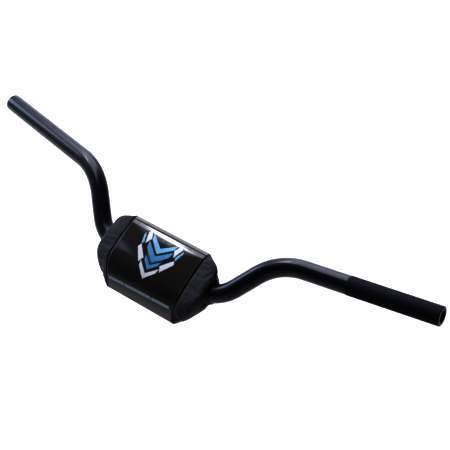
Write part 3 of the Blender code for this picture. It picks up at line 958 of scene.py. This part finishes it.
def turns_over(form, low, high, spacing, gap=0.0):
    """Turns from low to high, less a gap at either side, in even lengths."""
    first, last = form.share_at([low, high]) * form.girth + [gap, -gap]
    return form.turn_at((first + edge_steps(last - first, spacing)) / form.girth)


def run_lengths(points, axis):
    """Length from the grid's first row or column to each point."""
    steps = np.linalg.norm(np.diff(points, axis=axis), axis=2)
    pad = [(0, 0), (0, 0)]
    pad[axis] = (1, 0)
    return np.cumsum(np.pad(steps, pad), axis=axis)


def cover_sheet(name, form, material, alongs, turns, lift=0.0, thickness=None, roll=0.9 * MM,
                relief=None):
    """A closed, thick panel over part of the cover, with its border rolled down into the seams.
    lift raises it over the cover, and relief adds height by the place on the panel."""
    points, outward = form.cover_grid(alongs, turns)
    across, down = run_lengths(points, 0), run_lengths(points, 1)
    border = np.minimum(np.minimum(across, across[-1] - across), np.minimum(down, down[:, -1:] - down))
    inside = np.clip(roll - border, 0, roll)
    rise = lift - roll + np.sqrt(roll ** 2 - inside ** 2)
    if relief is not None:
        rise = rise + relief(across, down, border)
    thickness = form.pad.cover if thickness is None else thickness
    under = np.broadcast_to(lift - thickness - UNDER_SLACK, border.shape)
    layers = [points + outward * height[:, :, None] for height in (rise, under)]
    rows, columns = border.shape
    face = grid_faces(rows, columns)
    number = np.arange(rows * columns).reshape(rows, columns)
    rim = np.concatenate([number[0], number[1:, -1], number[-1, -2::-1], number[-2:0:-1, 0]])
    after = np.roll(rim, -1)
    lower = rows * columns
    sides = np.stack([after, rim, rim + lower, after + lower], axis=1)
    faces = np.concatenate([face, face[:, ::-1] + lower, sides])
    uv = np.stack([across, down], axis=-1).reshape(-1, 2)
    places = np.concatenate([layer.reshape(-1, 3) for layer in layers])
    return new_piece(name, places, faces, [material], uv=np.concatenate([uv, uv]))


class HANDLEBAR_OT_foam(bpy.types.Operator):
    """Foam block inside the cover, with the tube's channel and the slot behind it"""

    bl_idname = "handlebar.foam"
    bl_label = "Pad foam"

    # First and last along and number of rings, in half the middle and in an end, and their points
    MIDDLE_RINGS, END_RINGS = (0, 0.9, 10), (1, 1.86, 22)
    COLUMNS = 120
    # Extra gap under the cover, and the angle from which the block's edges are sharp
    SLACK, SHARP = 0.25 * MM, math.radians(50)
    CHANNEL_STEPS, ROUND_STEPS = 30, 40
    SLOT_HALF = 9 * MM
    OVERRUN = 6 * MM

    def execute(self, context):
        pad = context.scene.handlebar_pad
        form = pad_form(context)
        half = np.concatenate([np.linspace(*self.MIDDLE_RINGS), np.linspace(*self.END_RINGS)])
        alongs = np.concatenate([-half[:0:-1], half])
        turns = form.turn_at(np.arange(self.COLUMNS) / self.COLUMNS)
        points, outward = form.cover_grid(alongs, turns)
        points = points - outward * (pad.cover + pad.gap + self.SLACK)
        foam = self.closed_tube("foam_core", points, [foam_cells(context.scene.handlebar_finish)])
        cutter = self.channel(form)
        cut = foam.modifiers.new("channel", "BOOLEAN")
        cut.object = cutter
        cut.solver = "MANIFOLD"
        solid = bpy.data.meshes.new_from_object(foam.evaluated_get(context.evaluated_depsgraph_get()))
        if not solid.polygons:
            raise RuntimeError("the channel took the whole foam block")
        foam.modifiers.clear()
        foam.data = solid
        solid.set_sharp_from_angle(angle=self.SHARP)
        bpy.data.objects.remove(cutter, do_unlink=True)
        place_piece(foam, "pad_foam", "pad_foam")
        return {"FINISHED"}

    def closed_tube(self, name, points, materials):
        """Rings of points bridged in order, with a flat face at either end."""
        rows, columns = points.shape[:2]
        faces = [list(face) for face in grid_faces(rows, columns, wrap_columns=True)]
        faces.append(list(range(columns))[::-1])
        faces.append(list(range((rows - 1) * columns, rows * columns)))
        return new_piece(name, points.reshape(-1, 3), faces, materials)

    def channel(self, form):
        """Keyhole along the tube, open to the rear."""
        course = form.course
        last = course.at_x(form.pad.half + self.OVERRUN)
        rows = []
        for number in range(self.CHANNEL_STEPS + 1):
            distance = last * (2 * number / self.CHANNEL_STEPS - 1)
            place, heading = course.at(distance)
            radius = course.radius(distance) + form.pad.gap
            back = Vector((0, 1, 0))
            back = (back - heading * back.dot(heading)).normalized()
            up = heading.cross(back)
            up = up if up.z > 0 else -up
            reach = (form.pad.rear + self.OVERRUN - place.y) / back.y
            first = math.asin(self.SLOT_HALF / radius)
            row = [place + back * reach + up * self.SLOT_HALF]
            for step in range(self.ROUND_STEPS + 1):
                turned = first + (2 * math.pi - 2 * first) * step / self.ROUND_STEPS
                row.append(place + (back * math.cos(turned) + up * math.sin(turned)) * radius)
            row.append(place + back * reach - up * self.SLOT_HALF)
            rows.append([tuple(point) for point in row])
        return self.closed_tube("channel_cutter", np.array(rows), [])


class HANDLEBAR_OT_front_panel(bpy.types.Operator):
    """Gloss vinyl over the slope and the low front of the pad"""

    bl_idname = "handlebar.front_panel"
    bl_label = "Pad front panel"

    SPACING = 1.6 * MM
    LONG_SEAM_HALF = 0.5 * MM

    def execute(self, context):
        form = pad_form(context)
        alongs = alongs_over(form, form.pad.top_seam, SEAM_HALF, self.SPACING)
        turns = turns_over(form, TOP_FRONT, BOTTOM_FRONT, self.SPACING, self.LONG_SEAM_HALF)
        material = vinyl_gloss(context.scene.handlebar_finish)
        panel = cover_sheet("front_panel", form, material, alongs, turns)
        place_piece(panel, "pad_vinyl", "pad_front_panel")
        return {"FINISHED"}


class HANDLEBAR_OT_end_panels(bpy.types.Operator):
    """Woven fabric ends, gathered onto the tube, each slit behind it"""

    bl_idname = "handlebar.end_panels"
    bl_label = "Pad end panels"

    SPACING = 1.5 * MM
    SURFACE_LENGTH = 48 * MM
    # Section of the hem: share of the way from the fabric's edge in to the tube, then the distance
    # out along the tube and the height over its surface in millimetres
    CUFF = [(0.0, 0.0, -2.2), (0.0, 0.0, 0.25), (0.3, 0.15, 0.7), (0.75, 0.35, 1.0), (1.0, 0.7, 0.9),
            (1.0, 1.2, 0.6), (1.0, 1.5, 0.25), (1.0, 1.5, 0.05), (1.0, 0.5, 0.05), (1.0, -3.0, 0.05)]
    CUFF_COLUMNS = 150
    PLEATS, PLEAT_HEIGHT = 31, 0.10 * MM
    # Height over which the hem is pleated, and its longest overhang past the fabric, in millimetres
    PLEATED_OVER, OVERHANG = 0.1, 0.9
    # Size of the hem's cells, for the weave
    CELL_ACROSS, CELL_ROUND = 1 * MM, 0.8 * MM

    def execute(self, context):
        form = pad_form(context)
        finish = context.scene.handlebar_finish
        material = woven("pad_fabric_slate", finish.fabric, finish.fabric_light, pitch=1.1 * MM,
                         roughness=0.82, height=0.12 * MM)
        turns = turns_over(form, SLIT, SLIT + CORNER_COUNT, self.SPACING, SEAM_HALF)
        shares = edge_steps(self.SURFACE_LENGTH, self.SPACING) / self.SURFACE_LENGTH
        start = SEAM_HALF / (form.pad.half - form.pad.top_seam)
        for name, side in (("left", -1), ("right", 1)):
            alongs = side * (1 + start + shares * (1 - start))
            panel = cover_sheet("end_panel_" + name, form, material, alongs, turns)
            place_piece(panel, "pad_fabric", "pad_end_panel_" + name)
            self.cuff(form, material, name, side)
        return {"FINISHED"}

    def cuff(self, form, material, name, side):
        """Elastic hem of an end, from the fabric's edge in to the tube and a little along it."""
        course = form.course
        exit_at = course.at_x(form.pad.half)
        ring = 2 * math.pi * np.arange(self.CUFF_COLUMNS) / self.CUFF_COLUMNS
        turns = form.turn_at(np.arange(self.CUFF_COLUMNS) / self.CUFF_COLUMNS)
        edge = form.cover(side * 2.0, turns)[0]
        pleat = self.PLEAT_HEIGHT * np.sin(self.PLEATS * ring)
        rows = []
        for inward, out, proud in self.CUFF:
            place, across, square = course.square_at(side * (exit_at + out * MM))
            heading = np.cross(across, square)
            off = edge - place
            spoke = unit_rows(off - heading * (off @ heading)[:, None])
            stand = course.radius(exit_at) + proud * MM + pleat * (proud > self.PLEATED_OVER)
            hug = place + spoke * stand[:, None]
            outer = edge + np.array([side * min(proud, self.OVERHANG) * MM, 0, 0])
            rows.append(outer * (1 - inward) + hug * inward)
        across, around = np.indices((len(rows), self.CUFF_COLUMNS))
        uv = np.stack([across * self.CELL_ACROSS, around * self.CELL_ROUND], axis=-1).reshape(-1, 2)
        faces = grid_faces(len(rows), self.CUFF_COLUMNS, wrap_rows=True, wrap_columns=True)
        hem = new_piece("end_cuff_" + name, np.array(rows).reshape(-1, 3), faces, [material], uv=uv)
        place_piece(hem, "pad_fabric")


class HANDLEBAR_OT_top_band(bpy.types.Operator):
    """Ribbed tape along the top edge, and the dark binding in the seam before it"""

    bl_idname = "handlebar.top_band"
    bl_label = "Pad top band"

    SPACING, FINE_SPACING = 1.5 * MM, 0.22 * MM
    RIBS, RIB_HEIGHT, RIB_FADE = 5, 0.16 * MM, 0.6 * MM
    PICK_PITCH = 0.9 * MM
    SEAM_GAP = 0.9 * MM
    BAND_ROLL = 0.45 * MM
    # The binding: its width, where it starts and ends off the seam in widths with the number of
    # points between, and its place under the cover, thickness and roll
    BINDING, BINDING_SPAN = 2.6 * MM, (-0.55, 0.45, 9)
    BINDING_LIFT, BINDING_THICKNESS, BINDING_ROLL = -0.5 * MM, 0.4 * MM, 0.2 * MM

    def ribs(self, across, down, border):
        """Height of the ribs, which fade out at the border."""
        wave = 0.5 - 0.5 * np.cos(2 * math.pi * self.RIBS * down / down[:, -1:])
        return self.RIB_HEIGHT * wave * np.clip(border / self.RIB_FADE, 0, 1)

    def execute(self, context):
        form = pad_form(context)
        finish = context.scene.handlebar_finish
        alongs = alongs_over(form, form.pad.top_seam, SEAM_HALF, self.SPACING)
        first, last = form.share_at([TOP_REAR, TOP_FRONT]) * form.girth
        start = first + SEAM_HALF
        steps = start + edge_steps(last - self.SEAM_GAP - start, self.FINE_SPACING)
        turns = form.turn_at(steps / form.girth)
        tape = ribbed_tape(finish, float(steps[-1] - steps[0]), self.PICK_PITCH)
        band = cover_sheet("top_band", form, tape, alongs, turns, roll=self.BAND_ROLL, relief=self.ribs)
        place_piece(band, "pad_band", "pad_top_band")
        turns = form.turn_at((last + np.linspace(*self.BINDING_SPAN) * self.BINDING) / form.girth)
        black = woven("pad_binding", finish.lining, tinted(finish.lining, 1.6), pitch=0.8 * MM,
                      roughness=0.85, height=0.08 * MM, sheen=0.05)
        binding = cover_sheet("top_binding", form, black, alongs, turns, lift=self.BINDING_LIFT,
                              thickness=self.BINDING_THICKNESS, roll=self.BINDING_ROLL)
        place_piece(binding, "pad_lining")
        return {"FINISHED"}


class HANDLEBAR_OT_bottom_panel(bpy.types.Operator):
    """Black woven panel under the pad"""

    bl_idname = "handlebar.bottom_panel"
    bl_label = "Pad bottom panel"

    ALONG_SPACING, TURN_SPACING = 2 * MM, 1.8 * MM

    def execute(self, context):
        form = pad_form(context)
        alongs = alongs_over(form, form.pad.low_seam, SEAM_HALF, self.ALONG_SPACING)
        turns = turns_over(form, BOTTOM_FRONT, BOTTOM_REAR, self.TURN_SPACING, SEAM_HALF)
        material = woven_lining("pad_lining_woven", context.scene.handlebar_finish)
        panel = cover_sheet("bottom_panel", form, material, alongs, turns)
        place_piece(panel, "pad_lining", "pad_bottom_panel")
        return {"FINISHED"}


class HANDLEBAR_OT_closure(bpy.types.Operator):
    """Two flaps behind the tube, with the loop and hook strips between them"""

    bl_idname = "handlebar.closure"
    bl_label = "Pad closure"

    # Turns of the upper flap's free edge, of the strips, of the lower flap's free edge, and of the
    # stretch where the lower flap rises over the upper one
    UPPER_EDGE, STRIP_START, STRIP_END, LOWER_EDGE = 7.15, 7.34, 8.15, 8.225
    LIFT_START, LIFT_END = 6.54, 7.06
    FLAP_INSET, STRIP_INSET = 3 * MM, 8 * MM
    SPACING = 1.8 * MM
    # How much thinner a strip is than its layer, and the roll of its edges
    STRIP_SLACK, STRIP_ROLL = 0.2 * MM, 0.3 * MM
    # Layer from the inside, and scale of the pile, of each strip
    STRIPS = {"loop_strip": (1, 3000), "hook_strip": (2, 5200)}

    def execute(self, context):
        form = pad_form(context)
        pad = form.pad
        finish = context.scene.handlebar_finish
        lining = woven_lining("pad_flap_woven", finish)

        alongs = alongs_over(form, pad.top_seam, SEAM_HALF, self.SPACING)
        turns = turns_over(form, self.UPPER_EDGE, CORNER_COUNT + TOP_REAR, self.SPACING, SEAM_HALF)
        upper = cover_sheet("upper_flap", form, lining, alongs, turns)
        place_piece(upper, "pad_lining", "pad_upper_flap")

        alongs = alongs_over(form, pad.low_seam, self.FLAP_INSET, self.SPACING)
        turns = turns_over(form, BOTTOM_REAR, self.LOWER_EDGE, self.SPACING, SEAM_HALF)
        lap = 2 * pad.strip + 3 * pad.gap + pad.cover
        rise = lap * smoothstep(self.LIFT_START, self.LIFT_END, turns)
        lift = np.broadcast_to(rise, (len(alongs), len(turns)))
        lower = cover_sheet("lower_flap", form, lining, alongs, turns, lift=lift)
        place_piece(lower, "pad_lining", "pad_lower_flap")

        alongs = alongs_over(form, pad.low_seam, self.STRIP_INSET, self.SPACING)
        turns = turns_over(form, self.STRIP_START, self.STRIP_END, self.SPACING)
        for name, (layer, scale) in self.STRIPS.items():
            pile = fuzzy("pad_" + name, finish.strip, scale)
            strip = cover_sheet(name, form, pile, alongs, turns, lift=layer * (pad.gap + pad.strip),
                                thickness=pad.strip - self.STRIP_SLACK, roll=self.STRIP_ROLL)
            place_piece(strip, "pad_strip", "pad_" + name)
        return {"FINISHED"}


# Print on the vinyl. Its drawing is in millimetres: right is +X from the middle, down is along
# the surface from the top seam.


class Print:
    """Turns flat drawings into thin fields of ink on the front panel."""

    # How far the ink stands over the vinyl and reaches into it, and the size of a field's cells
    PROUD, SUNK = 0.1 * MM, 0.1 * MM
    CELL = 2.0

    def __init__(self, form):
        self.form = form
        self.top = float(form.share_at(TOP_FRONT)) * form.girth

    def surface(self, flat, lift):
        """Places on the cover, raised by lift, of points of the drawing."""
        right, down = np.array(flat).T * MM
        turn = self.form.turn_at((self.top + down) / self.form.girth)
        seam = self.form.bare(np.ones_like(turn), turn)[:, 0]
        places, outward = self.form.cover(right / seam, turn)
        return places + outward * lift

    def cells(self, outline):
        """Points, faces and border edges of an outline that is cut into small cells."""
        flat = bmesh.new()
        flat.faces.new([flat.verts.new((x, y, 0)) for x, y in outline])
        for axis in (0, 1):
            values = [point[axis] for point in outline]
            cut = math.ceil(min(values) / self.CELL) * self.CELL
            direction = Vector((axis == 0, axis == 1, 0))
            while cut < max(values):
                parts = flat.verts[:] + flat.edges[:] + flat.faces[:]
                bmesh.ops.bisect_plane(flat, geom=parts, plane_co=direction * cut, plane_no=direction)
                cut += self.CELL
        bmesh.ops.triangulate(flat, faces=flat.faces[:])
        flat.verts.index_update()
        places = [(vert.co.x, vert.co.y) for vert in flat.verts]
        faces = [[vert.index for vert in face.verts] for face in flat.faces]
        border = [[loop.vert.index, loop.link_loop_next.vert.index] for edge in flat.edges
                  if edge.is_boundary for loop in edge.link_loops]
        flat.free()
        return places, faces, border

    def field(self, name, outline, material, level=0):
        """A closed field of ink with this outline. Each level lies a layer of ink higher."""
        places, faces, border = self.cells(outline)
        count = len(places)
        upper = self.surface(places, self.PROUD * (1 + level))
        lower = self.surface(places, -self.SUNK)
        solid = faces + [[index + count for index in reversed(face)] for face in faces]
        solid += [[second, first, first + count, second + count] for first, second in border]
        item = new_piece(name, np.concatenate([upper, lower]), solid, [material], sharp=30)
        place_piece(item, "pad_vinyl")


class HANDLEBAR_OT_stripe(bpy.types.Operator):
    """Printed stripe in three stretches along the low front"""

    bl_idname = "handlebar.stripe"
    bl_label = "Pad stripe"

    STRETCHES = [(-50.5, -25.2), (-23.8, 17.3), (18.7, 47.5)]
    DOWN_LEFT, DOWN_RIGHT = 77.8, 74.6
    WIDTH, SLANT = 3.4, 0.6

    def execute(self, context):
        press = Print(pad_form(context))
        material = ink("pad_ink_stripe", context.scene.handlebar_finish.stripe, roughness=0.35)
        ends = [self.STRETCHES[0][0], self.STRETCHES[-1][1]]
        for number, (low, high) in enumerate(self.STRETCHES, 1):
            first, last = np.interp([low, high], ends, [self.DOWN_LEFT, self.DOWN_RIGHT])
            outline = [(low, first), (high, last), (high + self.SLANT, last + self.WIDTH),
                       (low + self.SLANT, first + self.WIDTH)]
            press.field("stripe_" + str(number), outline, material)
        return {"FINISHED"}


class HANDLEBAR_OT_emblem(bpy.types.Operator):
    """Plain racing graphic on the slope: nested chevrons between slanted blades"""

    bl_idname = "handlebar.emblem"
    bl_label = "Pad emblem"

    # Ink, half width, top, point and thickness of each chevron
    CHEVRONS = [("pale", 19, 6, 13, 7.5), ("blue", 19, 16, 14, 9), ("navy", 13, 28, 9.5, 3),
                ("blue", 12, 33, 9, 6), ("white", 14.5, 41, 12, 7)]
    # Drop and draft of a chevron's cut ends, as shares of its thickness
    DROP, DRAFT = 0.92, 0.22

    # Ink, how far out, top, length, width and lean of each pair of blades
    BLADES = [("white", 24.5, 2, 19, 5.0, 0.18), ("pale", 30, 9, 15, 2.4, 0.25),
              ("white", 26.5, 24, 20, 4.2, 0.55)]
    # A blade's corners: the end that each is measured from, then out and down in its widths
    BLADE_CORNERS = [(0, 0, 0), (0, 0.55, 1.1), (1, 0.3, 0), (1, -0.55, -1.6)]

    def chevron(self, half, top, point, thick):
        drop, draft = thick * self.DROP, thick * self.DRAFT
        return [(-half, top), (0, top + point), (half, top), (half - draft, top + drop),
                (0, top + point + thick), (-half + draft, top + drop)]

    def blade(self, side, out, top, reach, wide, lean):
        return [(side * (out - end * lean * reach + right * wide), top + end * reach + down * wide)
                for end, right, down in self.BLADE_CORNERS]

    def execute(self, context):
        finish = context.scene.handlebar_finish
        press = Print(pad_form(context))
        inks = {"white": ink("pad_ink_white", finish.print_white, roughness=0.3),
                "blue": ink("pad_ink_blue", finish.print_blue, roughness=0.28),
                "pale": ink("pad_ink_pale_blue", finish.print_pale, roughness=0.28),
                "navy": ink("pad_ink_navy", finish.print_navy, roughness=0.25)}
        for number, (kind, *size) in enumerate(self.CHEVRONS, 1):
            press.field("emblem_chevron_%d" % number, self.chevron(*size), inks[kind], level=1)
        for number, (kind, *size) in enumerate(self.BLADES, 1):
            for name, side in (("left", -1), ("right", 1)):
                outline = self.blade(side, *size)
                press.field("emblem_blade_%d_%s" % (number, name), outline, inks[kind], level=1)
        return {"FINISHED"}


class HANDLEBAR_OT_stitching(bpy.types.Operator):
    """Thread along the seams of the cover"""

    bl_idname = "handlebar.stitching"
    bl_label = "Pad stitching"

    PITCH, STITCH, RADIUS = 3.2 * MM, 2.4 * MM, 0.24 * MM
    SIDES = 8
    # The rows: inset from a seam, and how many insets at the top front seam; alongs of the rows round
    # the ends and how far from the slit they stop; the upper flap's turns and the last turn before the
    # rear top seam; half length of the rows along the pad; and points on a straight row and on one
    # round an end
    INSET, TOP_SHARE = 2.2 * MM, 1.3
    END_ALONGS, SLIT_CLEAR = (1.06, 1.93), 0.05
    FLAP_TURNS, LAST_TURN = (7.25, 8.98), CORNER_COUNT - 0.001
    ROW_HALF = 0.96
    STRAIGHT_POINTS, ROUND_POINTS = 240, 900
    # How far to either side of a place the row's direction is measured
    REACH = 0.1 * MM
    # Share of the stitch, height over the cover and thickness, both in thread radii
    PROFILE = [(0.0, -0.3, 0.5), (0.12, 0.15, 0.85), (0.35, 0.5, 1.0), (0.65, 0.5, 1.0), (0.88, 0.15, 0.85),
               (1.0, -0.3, 0.5)]

    def rows(self, form):
        """Each row of stitches as alongs and turns, close together."""
        across, down = self.INSET / form.pad.top_seam, self.INSET / form.girth
        count = self.STRAIGHT_POINTS
        fine = np.linspace(0, 1, count)
        rows = []
        for low, high in ((TOP_FRONT, BOTTOM_FRONT), (BOTTOM_FRONT, BOTTOM_REAR), self.FLAP_TURNS):
            for side in (-1, 1):
                rows.append((np.full(count, side * (1 - across)), low + (high - low) * fine))
        start = SLIT + self.SLIT_CLEAR
        full = np.linspace(start, SLIT + CORNER_COUNT - self.SLIT_CLEAR, self.ROUND_POINTS)
        for side in (-1, 1):
            rows += [(np.full(self.ROUND_POINTS, side * along), full) for along in self.END_ALONGS]
        seams = [TOP_FRONT, BOTTOM_FRONT, BOTTOM_REAR, self.LAST_TURN]
        top, front, rear, back = form.share_at(seams)
        for share in (top + down * self.TOP_SHARE, front - down, front + down, rear - down, back - down):
            turn = float(form.turn_at(share))
            rows.append((self.ROW_HALF * (2 * fine - 1), np.full(count, turn)))
        return rows

    def execute(self, context):
        form = pad_form(context)
        points, faces = [], []
        ring = grid_faces(len(self.PROFILE), self.SIDES, wrap_columns=True).tolist()
        count = len(self.PROFILE) * self.SIDES
        caps = [list(range(self.SIDES))[::-1], list(range(count - self.SIDES, count))]
        for along, turn in self.rows(form):
            places, outward = form.cover(along, turn)
            reach = np.concatenate([[0], np.cumsum(np.linalg.norm(np.diff(places, axis=0), axis=1))])
            for start in np.arange(self.PITCH / 2, reach[-1] - self.STITCH, self.PITCH):
                faces += [[index + len(points) * count for index in face] for face in ring + caps]
                points.append(self.stitch(places, outward, reach, start))
        material = spun_thread(context.scene.handlebar_finish)
        thread = new_piece("stitching", np.concatenate(points), faces, [material])
        place_piece(thread, "pad_lining")
        return {"FINISHED"}

    def stitch(self, places, outward, reach, start):
        """One stitch: a round thread that rises from the cover, lies on it and dips back in."""
        share, height, thick = np.array(self.PROFILE).T
        along = start + self.STITCH * share

        def at(rows, distance):
            return np.stack([np.interp(distance, reach, rows[:, axis]) for axis in range(3)], axis=1)

        centre, out = at(places, along), unit_rows(at(outward, along))
        heading = unit_rows(at(places, along + self.REACH) - at(places, along - self.REACH))
        side = unit_rows(np.cross(heading, out))
        centre = centre + out * (self.RADIUS * height)[:, None]
        turned = 2 * math.pi * np.arange(self.SIDES) / self.SIDES
        cosines, sines = np.cos(turned)[:, None], np.sin(turned)[:, None]
        spokes = side[:, None] * cosines + out[:, None] * sines
        return (centre[:, None] + spokes * (self.RADIUS * thick)[:, None, None]).reshape(-1, 3)


# Camera, floor and light


class HANDLEBAR_OT_stage(bpy.types.Operator):
    """Camera at the photograph's angle, pale floor and soft studio light"""

    bl_idname = "handlebar.stage"
    bl_label = "Stage"

    SENSOR, CLIP_END = 36, 50
    FLOOR_RADIUS, FLOOR_SIDES = 14, 96
    FLOOR_DARK, FLOOR_LIGHT = (0.55, 0.53, 0.47), (0.57, 0.55, 0.49)
    # The light all round: its colour, where it comes from, and its share on the far side
    SKY, SKY_FROM, SKY_FAR = (0.95, 0.97, 1.0), (-0.87, 0.5, 0), 0.07
    # Name, place, aim, width, height, power, colour and share of soft edge of each light
    LIGHTS = [
        ("window", (-1.2, 0.95, 1.95), (-1.2, 0.9, 0), 2.1, 2.9, 175, (0.80, 0.78, 1.0), 0.13),
        ("back_window", (-1.9, 2.3, 0.6), (-0.1, 0.1, 0), 2.2, 1.2, 22, (0.42, 0.58, 1.0), 0.5),
        ("side_window", (-2.1, -0.4, 1.0), (-0.2, 0, 0), 1.0, 1.1, 48, (0.48, 0.62, 1.0), 0.5),
        ("strip", (-1.33, 0.05, 1.9), (-1.33, 0.0, 0), 0.115, 0.9, 18, (1.0, 1.0, 1.0), 0.08),
        ("margin", (-1.78, -0.95, 1.9), (-1.78, -1.0, 0), 0.22, 0.8, 1.8, (0.62, 0.56, 1.0), 0.6),
    ]

    def execute(self, context):
        stage = context.scene.handlebar_stage
        picture = context.scene.view_settings
        picture.view_transform = "Standard"
        picture.exposure = stage.exposure
        picture.gamma = stage.gamma
        self.camera(context.scene, stage)
        self.floor(stage)
        for light in self.LIGHTS:
            self.light(context.scene, *light)
        self.sky(context.scene, stage.world)
        return {"FINISHED"}

    def camera(self, scene, stage):
        data = bpy.data.cameras.new("camera")
        data.lens = stage.lens
        data.sensor_width = self.SENSOR
        data.clip_end = self.CLIP_END
        item = bpy.data.objects.new("camera", data)
        item.location = stage.place
        item.rotation_euler = Euler((math.pi / 2 - stage.elevation, 0, stage.azimuth))
        scene.collection.objects.link(item)
        scene.camera = item

    def floor(self, stage):
        """Pale round floor, a little mottled."""
        turned = 2 * math.pi * np.arange(self.FLOOR_SIDES) / self.FLOOR_SIDES
        unit = np.stack([np.cos(turned), np.sin(turned), np.zeros_like(turned)], axis=1)
        made = Finish("floor_pale", 0.75, Specular_IOR_Level=0.1)
        made.base(made.blend(made.noise(made.coordinates(), 3, 2), self.FLOOR_DARK, self.FLOOR_LIGHT))
        rim = [list(range(self.FLOOR_SIDES))]
        ground = new_piece("floor", unit * self.FLOOR_RADIUS, rim, [made.material])
        ground.location.z = stage.floor

    def sky(self, scene, strength):
        """Plain light all round, strongest from behind on the left and faint from the front right,
        so that the black surfaces stay deep."""
        world = bpy.data.worlds.new("studio")
        world.use_nodes = True
        made = Nodes(world.node_tree)
        background = made.tree.nodes["Background"]
        background.inputs["Color"].default_value = (*self.SKY, 1)
        place = made.node("ShaderNodeTexCoord")
        facing = made.node("ShaderNodeVectorMath", operation="DOT_PRODUCT")
        facing.inputs[1].default_value = self.SKY_FROM
        made.link(place.outputs["Generated"], facing.inputs[0])
        shine = made.spread(facing.outputs["Value"], self.SKY_FAR * strength, strength,
                            start=-0.1, end=0.9, curve="SMOOTHSTEP")
        made.link(shine, background.inputs["Strength"])
        scene.world = world

    def light(self, scene, name, place, aim, width, height, power, tint, soft):
        data = bpy.data.lights.new(name, "AREA")
        data.shape = "RECTANGLE"
        data.size = width
        data.size_y = height
        data.energy = power
        data.color = tint
        self.soften(data, soft)
        item = bpy.data.objects.new(name, data)
        item.location = place
        item.rotation_euler = (Vector(aim) - Vector(place)).to_track_quat("-Z", "Y").to_euler()
        scene.collection.objects.link(item)

    def soften(self, data, soft):
        """Lets a panel of light fade towards its edges, over a share of its half width."""
        data.use_nodes = True
        made = Nodes(data.node_tree)
        place = made.node("ShaderNodeNewGeometry")
        across, down, _ = made.split(place.outputs["Parametric"])
        fades = [made.spread(made.off_middle(share), 0, 1, 0.5, 0.5 - 0.5 * soft, "SMOOTHSTEP")
                 for share in (across, down)]
        made.link(made.math("MULTIPLY", *fades), made.tree.nodes["Emission"].inputs["Strength"])


class HANDLEBAR_PT_panel(bpy.types.Panel):
    """Lists the handlebar's operators"""

    bl_idname = "HANDLEBAR_PT_panel"
    bl_label = "Handlebar"
    bl_space_type = "VIEW_3D"
    bl_region_type = "UI"
    bl_category = "Handlebar"

    def draw(self, context):
        for operator in OPERATORS:
            self.layout.operator(operator.bl_idname)


OPERATORS = (HANDLEBAR_OT_tube, HANDLEBAR_OT_foam, HANDLEBAR_OT_front_panel, HANDLEBAR_OT_end_panels,
             HANDLEBAR_OT_top_band, HANDLEBAR_OT_bottom_panel, HANDLEBAR_OT_closure, HANDLEBAR_OT_stripe,
             HANDLEBAR_OT_emblem, HANDLEBAR_OT_stitching, HANDLEBAR_OT_stage)
SETTINGS = {
    "handlebar_tube": HandlebarTubeSettings,
    "handlebar_pad": HandlebarPadSettings,
    "handlebar_finish": HandlebarFinishSettings,
    "handlebar_stage": HandlebarStageSettings,
}


def register():
    for name, group in SETTINGS.items():
        bpy.utils.register_class(group)
        setattr(bpy.types.Scene, name, PointerProperty(type=group))
    for operator in OPERATORS:
        bpy.utils.register_class(operator)
    bpy.utils.register_class(HANDLEBAR_PT_panel)


def unregister():
    bpy.utils.unregister_class(HANDLEBAR_PT_panel)
    for operator in reversed(OPERATORS):
        bpy.utils.unregister_class(operator)
    for name, group in SETTINGS.items():
        delattr(bpy.types.Scene, name)
        bpy.utils.unregister_class(group)


def main():
    register()
    bpy.ops.handlebar.tube()
    bpy.ops.handlebar.foam()
    bpy.ops.handlebar.front_panel()
    bpy.ops.handlebar.end_panels()
    bpy.ops.handlebar.top_band()
    bpy.ops.handlebar.bottom_panel()
    bpy.ops.handlebar.closure()
    bpy.ops.handlebar.stripe()
    bpy.ops.handlebar.emblem()
    bpy.ops.handlebar.stitching()
    bpy.ops.handlebar.stage()


if __name__ == "__main__":
    main()
